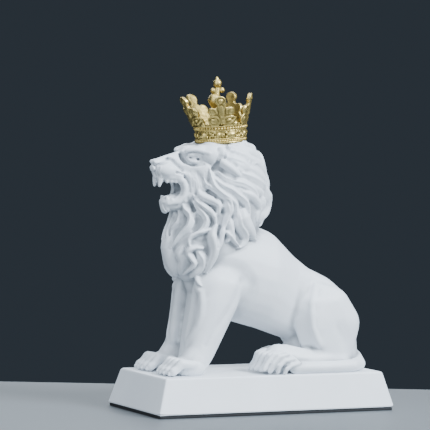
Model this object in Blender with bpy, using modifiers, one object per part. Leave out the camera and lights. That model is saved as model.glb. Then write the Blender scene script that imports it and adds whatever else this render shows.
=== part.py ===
"""A crowned lion seated on a plinth: a white resin casting, a gold crown and a soft base pad.

The lion is shaped at one unit to the millimetre, and each finished piece is scaled to metres.
The lion looks along -X, its left flank is towards -Y, and Z = 0 is the surface it stands on.
"""

import math
import random

import bmesh
import bpy
import numpy as np
from mathutils import Euler, Matrix, Vector
from mathutils.bvhtree import BVHTree

# Driving dimensions, in millimetres
PLINTH_LENGTH = 202.0
PLINTH_WIDTH = 95.0
PLINTH_TOP_LENGTH = 186.0
PLINTH_TOP_WIDTH = 83.0
PLINTH_TOP = 29.8
PAD_THICKNESS = 2.2
PAD_INSET = 1.2
REST_GAP = 0.3
CROWN_SEAT = 207.0
CROWN_MIDDLE = -30.5
CROWN_TILT = math.radians(-4.5)
CROWN_LEAN = 0.118
CROWN_BASE = 18.6
FLEURS = 5
FIRST_FLEUR = math.radians(-18.0)
FAR_LEG_BACK = 25.0

# How finely the clay is worked: voxel sizes in millimetres
BODY_VOXEL = 2.0
HEAD_VOXEL = 1.2
SKIN_VOXEL = 1.2
LOCK_SIDES = 20
CROWN_VOXEL = 0.8
LION_TRIANGLES = 7200
CROWN_TRIANGLES = 2300

NEAR, FAR = -1.0, 1.0
SIDES = (NEAR, FAR)


# Clay tools


def lump(bm, centre, radii, turn=(0.0, 0.0, 0.0)):
    """An ellipsoid of clay."""
    place = Matrix.LocRotScale(Vector(centre), Euler(turn), Vector(radii))
    bmesh.ops.create_icosphere(bm, subdivisions=3, radius=1.0, matrix=place)


def hull(bm, *balls):
    """The tight skin round ellipsoids, each given as (centre, radii)."""
    group = bmesh.new()
    for centre, radii in balls:
        lump(group, centre, radii)
    bmesh.ops.delete(group, geom=group.edges[:], context="EDGES_FACES")
    bmesh.ops.convex_hull(group, input=group.verts[:])
    loose = [v for v in group.verts if not v.link_faces]
    bmesh.ops.delete(group, geom=loose, context="VERTS")
    bmesh.ops.recalc_face_normals(group, faces=group.faces[:])
    add_mesh(bm, mesh_of(group))


def chain(bm, stations):
    """Bridges between each ellipsoid and the next."""
    for first, second in zip(stations, stations[1:]):
        hull(bm, first, second)


def mesh_of(bm):
    mesh = bpy.data.meshes.new("clay")
    bm.to_mesh(mesh)
    bm.free()
    return mesh


def add_mesh(bm, mesh):
    """Joins a mesh to bm and drops the mesh."""
    bm.from_mesh(mesh)
    bpy.data.meshes.remove(mesh)


def worked(mesh, *steps):
    """The mesh after a run of modifiers, each given as (type, settings)."""
    obj = bpy.data.objects.new("worked", mesh)
    bpy.context.scene.collection.objects.link(obj)
    for kind, settings in steps:
        modifier = obj.modifiers.new(kind, kind)
        for name, value in settings.items():
            setattr(modifier, name, value)
    graph = bpy.context.evaluated_depsgraph_get()
    result = bpy.data.meshes.new_from_object(obj.evaluated_get(graph))
    bpy.data.objects.remove(obj)
    bpy.data.meshes.remove(mesh)
    return result


def fused(mesh, voxel, blur=0.0):
    """Overlapping lumps made one skin, then rubbed smooth over a distance of about blur."""
    steps = [("REMESH", {"mode": "VOXEL", "voxel_size": voxel})]
    if blur:
        passes = max(1, round(2 * (blur / voxel) ** 2))
        steps.append(("SMOOTH", {"factor": 0.5, "iterations": passes}))
    return worked(mesh, *steps)


def cut(mesh, cutter):
    """The mesh less the cutter, which is another mesh."""
    tool = bpy.data.objects.new("cutter", cutter)
    bpy.context.scene.collection.objects.link(tool)
    result = worked(mesh, ("BOOLEAN", {"operation": "DIFFERENCE", "object": tool}))
    bpy.data.objects.remove(tool)
    bpy.data.meshes.remove(cutter)
    return result


def points_and_normals(mesh):
    points = np.empty(len(mesh.vertices) * 3)
    normals = np.empty(len(mesh.vertices) * 3)
    mesh.vertices.foreach_get("co", points)
    mesh.vertex_normals.foreach_get("vector", normals)
    return points.reshape(-1, 3), normals.reshape(-1, 3)


def distance_to_path(points, path):
    """How far each point is from a polyline."""
    nearest = np.full(len(points), np.inf)
    for start, end in zip(path, path[1:]):
        start, along = np.array(start), np.array(end) - np.array(start)
        share = np.clip((points - start) @ along / (along @ along), 0.0, 1.0)
        gap = np.linalg.norm(points - start - share[:, None] * along, axis=1)
        nearest = np.minimum(nearest, gap)
    return nearest


def stroke(mesh, path, radius, height):
    """Draws the surface out along its normals near a path, or presses it in where height is negative."""
    points, normals = points_and_normals(mesh)
    low = np.min(path, axis=0) - radius
    high = np.max(path, axis=0) + radius
    near = np.flatnonzero(((points > low) & (points < high)).all(axis=1))
    if not len(near):
        return
    share = np.clip(distance_to_path(points[near], path) / radius, 0.0, 1.0)
    swell = (1.0 - share**2) ** 2
    points[near] += normals[near] * (height * swell)[:, None]
    mesh.vertices.foreach_set("co", points.ravel())
    mesh.update()


def mirrored(points, side):
    """Points given for the near flank, on the side asked for."""
    return [(x, y * -side, z) for x, y, z in points]


def smooth_curve(points, share):
    """The point at a share of the way along a Catmull-Rom curve through points."""
    last = len(points) - 1
    place = min(max(share, 0.0), 1.0) * last
    index = min(int(place), last - 1)
    t = place - index
    before, start, end, after = (
        Vector(points[min(max(i, 0), last)]) for i in range(index - 1, index + 3)
    )
    return 0.5 * (
        2 * start
        + (end - before) * t
        + (2 * before - 5 * start + 4 * end - after) * t**2
        + (3 * start - before - 3 * end + after) * t**3
    )


# The body


def trunk(bm):
    """Chest, barrel, loin and rump, as sections down the sloping back."""
    chain(
        bm,
        [
            ((-34, 0, 110), (26, 26, 32)),
            ((-16, 0, 107), (24, 27, 39.5)),
            ((6, 0, 100), (21, 27, 38.8)),
            ((24, 0, 88.5), (20, 20.5, 33.5)),
            ((40, 0, 80), (18, 19.5, 30.5)),
            ((56, 0, 74.5), (18, 26, 28.5)),
            ((65, 0, 63), (22, 27, 32)),
        ],
    )
    hull(bm, ((65, 0, 62), (21, 27, 28)), ((69, 0, 42), (19, 27, 14)))


def back_by(side):
    """The far hind leg sits further back than the near one: it isn't seen in the gap."""
    return FAR_LEG_BACK if side == FAR else 0.0


def haunch(bm, side):
    """A folded hind leg: thigh, knee, shin and the foot flat on the plinth."""
    back = back_by(side)
    knee = back * 0.08
    ridge = [(45, 17, 96), (38.5, 26, 84), (37.5, 28, 74), (38.5, 28.5, 64), (42, 28.5, 54)]
    groin = [(33, 12, 92), (30, 17, 82), (30, 18, 70), (32, 18, 60), (35, 18, 52)]
    front = [((x + knee, y * side, z), (3, 3, 3)) for x, y, z in ridge + groin]
    hull(
        bm,
        *front,
        ((58, 19 * side, 82), (15, 12, 13)),
        ((63, 21 * side, 66), (19, 12, 18)),
        ((62 + knee * 0.5, 22.5 * side, 46), (14, 9.5, 12)),
    )
    chain(
        bm,
        [
            ((62, 24 * side, 38), (12, 9, 10)),
            ((37 + back * 0.5, 25 * side, 38.5), (12, 8, 8)),
            ((17 + back, 22 * side, 40.5 - back * 0.12), (11, 10, 11 - back * 0.08)),
            ((7 + back, 21 * side, 38 - back * 0.08), (8, 11, 9 - back * 0.04)),
        ],
    )


def foreleg(bm, side):
    """Shoulder, upper arm and forearm, down to the wrist."""
    hull(
        bm,
        ((-42, 19 * side, 96), (15, 11, 16)),
        ((-50, 18 * side, 94), (9, 9, 14)),
        ((-33, 20 * side, 97), (12, 10, 10)),
        ((-41, 20 * side, 84), (17, 11, 13)),
    )
    chain(
        bm,
        [
            ((-41, 20 * side, 86), (18, 11, 13)),
            ((-48, 20 * side, 64), (13.5, 10.5, 12)),
            ((-54, 20 * side, 48), (11.5, 9.5, 10)),
            ((-60, 20 * side, 39), (12, 10.5, 9)),
        ],
    )
    hull(bm, ((-56, 15 * side, 92), (4, 4, 10)), ((-62, 13 * side, 56), (3.5, 4, 8)))


def web(bm):
    """The clay left between the forelegs and between the knees, set back from their fronts."""
    hull(bm, ((-45, 0, 92), (10, 12, 20)), ((-54, 0, 32), (9, 12, 8)))
    hull(bm, ((37, 0, 68), (8, 17, 14)), ((39, 0, 48), (8, 17, 9)))


def neck(bm):
    """The mass of the mane, from the crown of the head to the chest, before its locks."""
    chain(
        bm,
        [
            ((-27, 0, 190), (29.6, 23.5, 19.0)),
            ((-25, 0, 173), (31, 25, 25)),
            ((-29, 0, 154), (33, 26, 24)),
            ((-38.5, 0, 128), (36, 25.5, 24)),
            ((-45.5, 0, 114), (25.5, 21.5, 17)),
        ],
    )


def drawn(tree, path, side, count=0):
    """A path drawn in side elevation as (x, z), laid on the skin of one flank."""
    path = [Vector((x, 0, z)) for x, z in path]
    if count:
        path = [smooth_curve(path, step / (count - 1)) for step in range(count)]
    laid = []
    for point in path:
        start = Vector((point.x, 120 * side, point.z))
        place, _, _, _ = tree.ray_cast(start, Vector((0, -side, 0)))
        if place is not None:
            laid.append(tuple(place))
    return laid


def tree_of(mesh):
    bm = bmesh.new()
    bm.from_mesh(mesh)
    tree = BVHTree.FromBMesh(bm)
    bm.free()
    return tree


def body_clay():
    bm = bmesh.new()
    trunk(bm)
    web(bm)
    for side in SIDES:
        haunch(bm, side)
        foreleg(bm, side)
    mesh = fused(mesh_of(bm), BODY_VOXEL, blur=2.6)
    tree = tree_of(mesh)
    for side in SIDES:
        for path, radius, height in (
            ([(-52, 116), (-36, 114), (-22, 108), (-15, 97), (-18, 84), (-28, 70)], 8, -1.8),
            ([(-24, 101), (-33, 84), (-42, 72), (-49, 63), (-54, 54)], 4.6, -0.9),
            ([(60, 64), (66, 53), (72, 42)], 8.0, -0.9),
        ):
            stroke(mesh, drawn(tree, path, side, 16), radius, height)
        shin = [(-62, 18, 98), (-57, 24, 93), (-56, 25, 84), (-56.5, 25, 76), (-58, 23.5, 68)]
        shin += [(-62, 19.5, 58), (-68, 14.5, 49)]
        stroke(mesh, mirrored(shin, -side), 4.0, 1.6)
        back = back_by(side) * 0.08
        edge = [(44.5, 20, 97.5), (36, 29, 81), (36.5, 30.5, 65), (43.5, 31, 49.5)]
        edge = [(x + back, y * side, z) for x, y, z in edge]
        stroke(mesh, edge, 3.6, 1.1)
    return mesh


def mane_core():
    bm = bmesh.new()
    neck(bm)
    top = [((x, 9 * side, z), (12, 12, 9.5)) for x, z in ((-42, 199), (-22, 197)) for side in SIDES]
    hull(bm, *top)
    return fused(mesh_of(bm), BODY_VOXEL, blur=2.5)


# Paws and tail


def toe(bm, root, knuckle, tip, size):
    """One toe from the paw over its knuckle to its claw."""
    dip = [(k + t) / 2 for k, t in zip(knuckle, tip)]
    chain(
        bm,
        [
            (root, (size * 1.1, size * 0.9, size * 0.9)),
            (knuckle, (size, size * 0.92, size * 0.95)),
            ((dip[0], dip[1], dip[2] - 0.6), (size * 0.8, size * 0.8, size * 0.72)),
            (tip, (size * 0.82, size * 0.88, size * 0.8)),
        ],
    )
    claw = (tip[0] - size * 0.75, tip[1], tip[2] - size * 0.35)
    lump(bm, claw, (size * 0.4, size * 0.34, size * 0.42))


def forepaw(bm, side):
    lump(bm, (-64, 20 * side, 36), (13, 13, 9))
    for number in range(4):
        across = (20 + (number - 1.5) * 6.8) * side
        reach = 1.5 * (1 - abs(number - 1.5) / 1.5)
        toe(
            bm,
            (-66, across, 38.0),
            (-75.0 - reach, across, 39.4),
            (-82 - reach, across, 33.6),
            4.1,
        )


def hind_paw(bm, side):
    back = 3 + back_by(side)
    drop = back_by(side) * 0.12
    lump(bm, (9 + back, 21 * side, 38 - drop), (13, 12, 13.5 - drop))
    for number in range(4):
        across = (21 + (number - 1.5) * 6.4) * side
        reach = 2.0 * (1 - abs(number - 1.5) / 1.5) - back
        toe(
            bm,
            (3 + back, across, 44.2 - drop),
            (-2.6 - reach, across, 42.6 - drop),
            (-7.5 - reach, across, 34.4),
            4.0,
        )


def tail(bm):
    """The tail, from the rump round the near haunch and along the plinth's edge."""
    route = [
        ((80, -2, 44), 6.5),
        ((84, -12, 38), 6.0),
        ((80, -26, 35), 5.4),
        ((70, -34.5, 34.5), 5.0),
        ((55, -36, 34.2), 4.8),
        ((34, -36, 34.2), 4.8),
        ((20, -35, 34.5), 5.2),
    ]
    chain(bm, [(place, (size, size, size)) for place, size in route])
    tuft = [
        ((20, -35.0, 35.5), (5.5, 4.8, 5.2)),
        ((12, -35.5, 40.5), (5.5, 4.6, 5.6)),
        ((5, -36.0, 41.5), (4.6, 4.4, 5.4)),
        ((0, -36.4, 38.0), (3.4, 3.6, 4.4)),
        ((-3, -36.6, 32.5), (1.8, 2.2, 2.0)),
    ]
    chain(bm, tuft)
    for strand in (
        [(11, -38.8, 45.0), (3, -39.6, 43.5), (-1.5, -39.6, 38.5), (-4, -38.6, 33)],
        [(16, -39.0, 41.5), (8, -40.2, 40.5), (3.5, -40.4, 36.5), (2.5, -39.4, 32)],
        [(21, -38.8, 38.0), (14, -40.4, 36.8), (9.5, -40.4, 34.0), (8.5, -39.6, 31)],
        [(9, -36.0, 46.5), (0, -36.4, 45.0), (-5, -36.6, 39.0), (-8, -36.8, 34)],
    ):
        chain(bm, [(place, (1.7, 1.5, 1.7)) for place in strand])


# The head


def skull(bm):
    """Cranium, brow, bridge of the nose, muzzle and lower jaw of the open-mouthed head."""
    lump(bm, (-37, 0, 190), (22, 20, 19))
    hull(bm, ((-44, 0, 190), (15, 17, 15)), ((-59.5, 0, 193), (8, 10, 11.2)))
    hull(bm, ((-58, 0, 196), (8, 7.5, 6)), ((-84.5, 0, 190), (5.0, 5.6, 4.2)))
    hull(bm, ((-62, 0, 187), (12, 12, 9)), ((-78, 0, 184.5), (8, 8.5, 5.6)))
    hull(bm, ((-47, 0, 165), (13, 13, 12)), ((-72, 0, 158.8), (7.5, 7.5, 5.0)))
    lump(bm, (-48, 0, 172), (12, 15, 16))
    hull(bm, *(((-59.5, y, z), (4.5, 4, 4)) for y in (-9, 9) for z in (166, 177)))
    nose = [((-87.8, 3.2 * side, 191.6), (1.9, 2.2, 1.9)) for side in SIDES]
    nose += [((-87.6, 2.4 * side, 185.5), (1.8, 2.2, 1.8)) for side in SIDES]
    hull(bm, *nose, ((-80, 0, 190.5), (3, 4.5, 3.5)))
    hull(bm, ((-87.4, 0, 186), (1.6, 2.6, 1.6)), ((-85.6, 0, 180.4), (1.8, 3.4, 1.8)))
    for side in SIDES:
        hull(
            bm,
            ((-61.5, 9.0 * side, 199.4), (3.2, 3.4, 2.8)),
            ((-53, 13 * side, 200.5), (6.5, 5, 5)),
        )
        lump(bm, (-45, 13 * side, 197.5), (9.5, 9, 9))
        hull(
            bm,
            ((-60, 9 * side, 183), (5.5, 5, 7)),
            ((-50, 12 * side, 186), (7, 6.5, 9)),
            ((-50, 11.5 * side, 170), (7, 6, 9)),
        )
        lump(bm, (-77.2, 5.5 * side, 185.2), (9.0, 6.4, 6.4))
        lump(bm, (-70, 9.6 * side, 183), (5, 3.4, 3.4))


def mouth_cutter():
    """A wedge that opens from the corners of the mouth to the front."""
    bm = bmesh.new()
    hull(bm, ((-69.4, 0, 169.8), (4.0, 40, 4.2)), ((-98, 0, 172.0), (8, 40, 6.6)))
    return mesh_of(bm)


def jaws(bm):
    """Lips, teeth and tongue round the open mouth."""
    for side in SIDES:
        lip = [
            ((-82.5, 6.0, 180.0), 1.2),
            ((-76.5, 8.6, 180.2), 1.7),
            ((-70.5, 9.8, 180.0), 2.1),
            ((-66.4, 10.4, 176.8), 2.2),
            ((-64.8, 10.6, 171.0), 2.2),
            ((-66.0, 10.2, 165.4), 2.1),
            ((-70.4, 8.8, 161.2), 2.0),
            ((-76.8, 5.4, 159.8), 1.7),
        ]
        chain(bm, [((x, y * side, z), (size, size, size)) for (x, y, z), size in lip])
        inner = [(-76 + (x + 76) * 0.86, y - 2.2, 170.4 + (z - 170.4) * 0.76) for (x, y, z), _ in lip]
        chain(bm, [((x, y * side, z), (1.4, 1.4, 1.4)) for x, y, z in inner[2:7]])
        for root, tip, wide, narrow in (
            ((-83.4, 4.5, 179.0), (-84.3, 4.2, 173.4), 2.5, 1.3),
            ((-77.0, 4.6, 161.5), (-78.0, 4.6, 165.4), 2.0, 1.1),
        ):
            ends = zip((root, tip), (wide, narrow))
            hull(bm, *(((x, y * side, z), (size, size, size)) for (x, y, z), size in ends))
        for number in range(4):
            back = number * 3.2
            lump(bm, (-79.0 + back, (6.8 + 1.0 * number) * side, 177.4), (1.6, 1.5, 2.4))
            lump(bm, (-74.5 + back, (6.8 + 0.9 * number) * side, 162.6), (1.6, 1.5, 2.0))
    hull(bm, ((-56, 0, 166), (6, 7, 4)), ((-75, 0, 163.6), (4.5, 5.0, 2.2)))
    hull(bm, ((-79.0, 0, 160.5), (2.4, 5.0, 3.6)), ((-77.0, 0, 155.4), (3.4, 4.6, 3.6)))


def eyes(bm):
    """Each eyeball with its lids."""
    for side in SIDES:
        lump(bm, (-58.6, 9.4 * side, 194.9), (3.6, 3.6, 3.3))
        upper = [
            (-63.6, 9.4, 194.8),
            (-61.8, 11.7, 197.3),
            (-58.6, 13.2, 197.8),
            (-55.0, 13.9, 195.8),
            (-52.4, 14.4, 193.4),
        ]
        lower = [(-63.4, 9.3, 194.0), (-61.0, 11.6, 192.2), (-57.4, 12.9, 191.7), (-53.0, 14.0, 192.8)]
        for lid, size in ((upper, 1.35), (lower, 1.05)):
            chain(bm, [((x, y * side, z), (size, size, size)) for x, y, z in lid])


def strokes(mesh, drawn_paths):
    """The same strokes on both flanks, each given as (path, radius, height)."""
    for side in SIDES:
        for path, radius, height in drawn_paths:
            stroke(mesh, mirrored(path, -side), radius, height)


SOCKET = [(-65.5, 7.5, 196.5), (-63.5, 9.5, 194), (-60, 12, 193.5), (-56.5, 13.5, 194)]
FACE_STROKES = (
    ([(-67, 5.5, 198.5), (-66.2, 6.4, 195), (-64.4, 8.4, 192)], 2.8, -2.4),
    ([(-65, 8.5, 199.8), (-61.5, 11.5, 201.2), (-56, 14, 200.8), (-50, 16.5, 199)], 3.0, 1.1),
    ([(-63.5, 10.8, 198.8), (-59, 13.4, 199.2), (-54, 14.8, 197.6)], 1.5, -0.9),
    ([(-64.4, 8.4, 192), (-61.5, 10.8, 189.8), (-57, 12.9, 189.2), (-53, 14.2, 190.2)], 2.2, -1.3),
    ([(-62.2, 11.2, 195.3), (-61.6, 11.6, 195.1)], 1.3, -0.9),
    ([(-52, 14.6, 192.4), (-48, 17.0, 190.4)], 2.0, -0.7),
    ([(-90, 3.2, 190.0), (-88, 4.8, 188.8)], 1.9, -1.7),
    ([(-87, 5.6, 189.4), (-83, 6.6, 190.4), (-80, 6.6, 192.2), (-77.5, 6.2, 194.0)], 1.6, -1.3),
    ([(-78.5, 5.0, 194.4), (-74.8, 6.6, 193.2), (-71.5, 9.0, 189.6), (-68, 11.4, 185.5)], 2.6, -1.4),
    ([(-87.4, 4.0, 187.4), (-87.6, 2.6, 184), (-86.0, 1.6, 180.4)], 1.7, -1.0),
    ([(-84.6, 6.4, 188.0), (-85.4, 5.6, 184), (-84.0, 6.2, 180.6)], 1.3, 0.6),
    ([(-73, 11.4, 183.8), (-67.0, 13.2, 182.0), (-63.0, 14.4, 176.5), (-62.0, 14.4, 169)], 2.0, -1.2),
    ([(-66, 13.0, 186.5), (-58, 15.5, 183), (-52, 17, 176)], 5.0, -0.7),
    ([(-82.5, 2.0, 159.5), (-81, 2.4, 155), (-77, 2.6, 151)], 1.3, -1.0),
    ([(-80.5, 4.4, 159.5), (-78.5, 5.0, 155), (-74, 5.0, 151.5)], 1.3, -0.9),
)


def head_clay():
    bm = bmesh.new()
    skull(bm)
    mesh = cut(fused(mesh_of(bm), HEAD_VOXEL, blur=1.9), mouth_cutter())
    strokes(mesh, ((SOCKET, 4.8, -2.4),))
    bm = bmesh.new()
    add_mesh(bm, mesh)
    jaws(bm)
    eyes(bm)
    mesh = fused(mesh_of(bm), HEAD_VOXEL, blur=0.8)
    strokes(mesh, FACE_STROKES)
    return mesh


# The mane

# The carver's locks on one flank. Each is a run of (angle, height) marks: degrees round the mane
# from the front of the beard, and millimetres up. Then its half width, how far it stands out, how
# many strands it has, and how strong the lesser locks are that lie at either side of it.
COMBED_LOCKS = (
    (((64, 206), (100, 205), (132, 202), (160, 197), (178, 195)), 5.0, 1.2, 3, 0.8),
    (((62, 200), (94, 198), (125, 194), (150, 187), (170, 183)), 5.0, 1.8, 3, 0.8),
    (((64, 198), (79, 196), (99, 193), (117, 188), (136, 181)), 5.0, 2.4, 4, 0.8),
    (((53, 195), (62, 192), (76, 188), (90, 183.5), (97, 181)), 4.3, 5.2, 1, 0.0),
    (((100, 190), (124, 187), (145, 182), (162, 175), (176, 170)), 5.0, 2.4, 4, 0.9),
    (((54, 185), (69, 181), (86, 178), (104, 176), (122, 172), (134, 166), (138, 158)), 4.6, 3.6, 4, 0.5),
    (((98, 184), (118, 181), (139, 176), (157, 170), (163, 161), (156, 152)), 4.8, 3.8, 3, 0.6),
    (((158, 186), (168, 176), (174, 166), (168, 157), (172, 148), (166, 142)), 5.0, 3.8, 3, 0.7),
    (((178, 200), (182, 188), (177, 176), (183, 164), (178, 153), (180, 143)), 4.6, 3.6, 3, 0.6),
    (((150, 176), (160, 166), (159, 158), (151, 151), (154, 144)), 4.6, 3.8, 3, 0.6),
    (((148, 173), (155, 166), (160, 159), (157, 153), (152, 148)), 5.4, 6.4, 2, 0.5),
    (((172, 171), (178, 164), (182, 157), (178, 150), (172, 146)), 5.4, 5.6, 2, 0.5),
)
WAVED_LOCKS = (
    (((46, 182), (66, 175), (85, 171), (101, 166), (114, 161), (121, 153), (124, 146)), 4.0, 4.6, 3, 0.0),
    (
        ((40, 188), (48, 180), (56, 173), (70, 168), (84, 164), (94, 160), (97, 154), (102, 147), (111, 140)),
        3.8,
        5.2,
        3,
        0.0,
    ),
    (((33, 183), (38, 176), (51, 172), (66, 168), (77, 163)), 3.2, 4.4, 2, 0.0),
    (((28, 172), (33, 167), (44, 164), (57, 162), (66, 159), (67, 154), (62, 151)), 3.8, 5.8, 1, 0.0),
    (((71, 165), (82, 163), (87, 156), (82, 149), (79, 141)), 3.4, 5.2, 3, 0.0),
    (((104, 170), (124, 166), (137, 161), (145, 154)), 4.2, 3.8, 2, 0.0),
    (((107, 157), (112, 150), (121, 144), (134, 138), (144, 131)), 6.8, 6.4, 1, 0.0),
    (((22, 167), (31, 162), (42, 158), (55, 154), (63, 149), (66, 143)), 2.8, 6.4, 1, 0.0),
    (((20, 163), (33, 157), (45, 152), (51, 147), (48, 142), (39, 138)), 3.4, 4.6, 3, 0.0),
    (
        ((67, 145), (63, 139), (65, 133), (69, 128), (70, 122), (66, 116), (62, 111), (56, 106)),
        4.5,
        6.8,
        1,
        0.0,
    ),
    (((61, 142), (49, 139), (39, 137), (33, 134), (33, 130), (37, 126)), 2.2, 4.6, 1, 0.0),
    (((53, 127), (40, 127), (33, 124), (38, 119), (42, 115), (34, 110), (21, 106)), 2.9, 5.4, 1, 0.0),
    (((44, 125), (53, 119), (54, 112), (42, 107), (30, 104)), 4.2, 4.0, 3, 0.0),
    (((58, 110), (51, 105.5), (52, 101.5), (60, 97.5)), 2.8, 3.0, 1, 0.0),
    (((4, 168), (8, 161), (16, 155), (27, 150), (28, 143), (21, 137), (11, 126)), 4.0, 6.2, 3, 0.0),
    (((-8, 158), (8, 152), (11, 145), (6, 139), (8, 133)), 2.6, 4.6, 2, 0.0),
    (((-2, 156), (1, 149), (-2, 142), (2, 135), (0, 127)), 3.6, 5.0, 3, 0.0),
    (((6, 134), (1, 125), (3, 117), (6, 110), (4, 104)), 6.6, 4.8, 1, 0.0),
    (((26, 128), (20, 122), (24, 116), (20, 110), (14, 105)), 4.4, 3.4, 2, 0.0),
    (((76, 164), (82, 158), (85, 152), (81, 145), (78, 138)), 3.2, 4.6, 3, 0.0),
    (((98, 158), (102, 151), (107, 145), (117, 140), (125, 134), (121, 129), (113, 127)), 4.4, 5.4, 3, 0.0),
    (((84, 140), (101, 133), (115, 128)), 1.8, 4.4, 1, 0.0),
    (((80, 144), (78, 137), (78, 130), (75, 124)), 2.8, 4.8, 1, 0.0),
    (((88, 150), (92, 143), (96, 137), (90, 131)), 3.6, 3.6, 2, 0.0),
    (((88, 141), (97, 136), (106, 131)), 3.8, 3.0, 1, 0.0),
)
# The hollows between locks, each as (angle, height) marks with a radius and a depth
HOLLOWS = (
    (((50, 189), (63, 185), (73, 182), (85, 180)), 2.8, 1.5),
    (((62, 196), (75, 193), (86, 190)), 2.2, 0.9),
    (((44, 170), (57, 166), (69, 161), (73, 154)), 2.6, 1.4),
    (((30, 165), (43, 161), (53, 157), (60, 153)), 2.4, 1.3),
    (((24, 158), (33, 151), (37, 145), (35, 140)), 3.2, 1.4),
    (((2, 150), (4, 143), (6, 136)), 2.4, 1.0),
    (((39, 133), (46, 132), (53, 133)), 2.2, 0.7),
    (((52, 202), (55, 197), (52, 191), (46, 187)), 3.0, 1.8),
    (((73, 143), (72, 135), (75, 128)), 2.6, 1.2),
)


def smooth_path(marks, count):
    """Evenly numbered points along a smooth curve through marks."""
    return [smooth_curve(marks, step / (count - 1)) for step in range(count)]


class Mane:
    """Lays locks on the core of the mane and the shoulders below it."""

    def __init__(self, core):
        self.tree = tree_of(core)

    def laid(self, angle, height):
        """The point of the skin at an angle round the mane and a height, and its normal."""
        angle = math.radians(angle)
        middle = Vector((-30 - (175 - height) * 0.16, 0, min(height, 185)))
        rise = math.atan2(max(height - 185, 0), 26)
        flat = math.cos(rise)
        out = Vector((-math.cos(angle) * flat, -math.sin(angle) * flat, math.sin(rise)))
        place, normal, _, _ = self.tree.ray_cast(middle + out * 120, -out)
        if place is None:
            place, normal, _, _ = self.tree.find_nearest(middle + out * 25)
        return place, normal

    def route(self, marks, count):
        marks = [(angle, height, 0) for angle, height in marks]
        return [self.laid(p.x, p.y) for p in smooth_path(marks, count)]


def beside(path, offset):
    """A path moved sideways over the skin."""
    moved = []
    last = len(path) - 1
    for step, (place, normal) in enumerate(path):
        ahead = path[min(step + 1, last)][0] - path[max(step - 1, 0)][0]
        across = ahead.cross(normal).normalized()
        moved.append((place + across * offset, normal))
    return moved


def lock(bm, path, width, height, strands=3, sides=LOCK_SIDES):
    """A lock of hair: a low ridged section swept along the skin, tapering to its tip."""
    rings = []
    last = len(path) - 1
    for step, (place, normal) in enumerate(path):
        t = step / last
        ahead = path[min(step + 1, last)][0] - path[max(step - 1, 0)][0]
        across = ahead.cross(normal).normalized()
        full = min(1.0, 0.35 + 3.0 * t) * max(0.06, (1 - t**4)) ** 0.8
        ring = []
        for corner in range(sides):
            turn = 2 * math.pi * corner / sides
            reach = math.cos(turn)
            if math.sin(turn) >= 0:
                crest = (1 - abs(reach) ** 2.2) ** 0.75
                crest *= 1 + 0.15 * math.cos(2 * math.pi * (strands - 1) * reach / 2 + 0.4)
                rise = height * crest * (0.35 + 0.65 * full)
            else:
                rise = 2.0 * math.sin(turn)
            ring.append(bm.verts.new(place + across * (reach * width * full) + normal * rise))
        rings.append(ring)
    for near, far in zip(rings, rings[1:]):
        for corner in range(sides):
            following = (corner + 1) % sides
            bm.faces.new((near[corner], near[following], far[following], far[corner]))
    bm.faces.new(list(reversed(rings[0])))
    bm.faces.new(rings[-1])


def locks(bm, core):
    """Every lock, with its lesser locks, on both flanks."""
    mane = Mane(core)
    chance = random.Random(7)
    for side in SIDES:
        for marks, width, height, strands, lesser in COMBED_LOCKS + WAVED_LOCKS:
            turned = [(angle * -side, level) for angle, level in marks]
            length = sum(math.dist(a, b) for a, b in zip(marks, marks[1:]))
            path = mane.route(turned, 12 + int(length / 4))
            if lesser:
                for offset in (-1.25, 1.25):
                    start = chance.randint(0, 3)
                    stop = len(path) - chance.randint(1, 5)
                    strand = beside(path[start:stop], offset * width * chance.uniform(0.9, 1.1))
                    lock(bm, strand, width * 0.75, height * lesser, 2)
            lock(bm, path, width, height, strands)


def hollows(mesh):
    """Presses in the hollows between the locks, on both flanks."""
    mane = Mane(mesh)
    for side in SIDES:
        for marks, radius, depth in HOLLOWS:
            turned = [(angle * -side, level) for angle, level in marks]
            path = [tuple(place) for place, _ in mane.route(turned, 10)]
            stroke(mesh, path, radius, -depth)


def joined(*meshes):
    """Meshes put together in one, which leaves each of them as it was."""
    bm = bmesh.new()
    for mesh in meshes:
        bm.from_mesh(mesh)
    return mesh_of(bm)


def lion_mesh():
    """The whole casting of the lion without its plinth, as one closed skin."""
    core, body = mane_core(), body_clay()
    hair = bmesh.new()
    under = joined(core, body)
    locks(hair, under)
    bmesh.ops.recalc_face_normals(hair, faces=hair.faces[:])
    bm = bmesh.new()
    for mesh in (core, body, head_clay(), mesh_of(hair)):
        add_mesh(bm, mesh)
    bpy.data.meshes.remove(under)
    for side in SIDES:
        forepaw(bm, side)
        hind_paw(bm, side)
    tail(bm)
    mesh = fused(mesh_of(bm), SKIN_VOXEL, blur=0.4)
    hollows(mesh)
    return mesh


def plinth_mesh():
    """The plinth, whose four sides lean in to a flat top."""
    bm = bmesh.new()
    for z, length, width in (
        (PAD_THICKNESS + REST_GAP, PLINTH_LENGTH, PLINTH_WIDTH),
        (PLINTH_TOP, PLINTH_TOP_LENGTH, PLINTH_TOP_WIDTH),
    ):
        for x, y in ((-1, -1), (1, -1), (1, 1), (-1, 1)):
            bm.verts.new((x * length / 2, y * width / 2, z))
    bmesh.ops.convex_hull(bm, input=bm.verts[:])
    bmesh.ops.bevel(
        bm,
        geom=bm.edges[:],
        offset=1.2,
        segments=2,
        profile=0.5,
        affect="EDGES",
        clamp_overlap=True,
    )
    return mesh_of(bm)


def pad_mesh():
    bm = bmesh.new()
    size = (
        PLINTH_LENGTH - 2 * PAD_INSET,
        PLINTH_WIDTH - 2 * PAD_INSET,
        PAD_THICKNESS,
    )
    place = Matrix.LocRotScale(Vector((0, 0, PAD_THICKNESS / 2)), None, Vector(size))
    bmesh.ops.create_cube(bm, size=1.0, matrix=place)
    return mesh_of(bm)


# The crown, built flat and then bent round: x runs along the wall, -y is outwards, z is up

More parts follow.
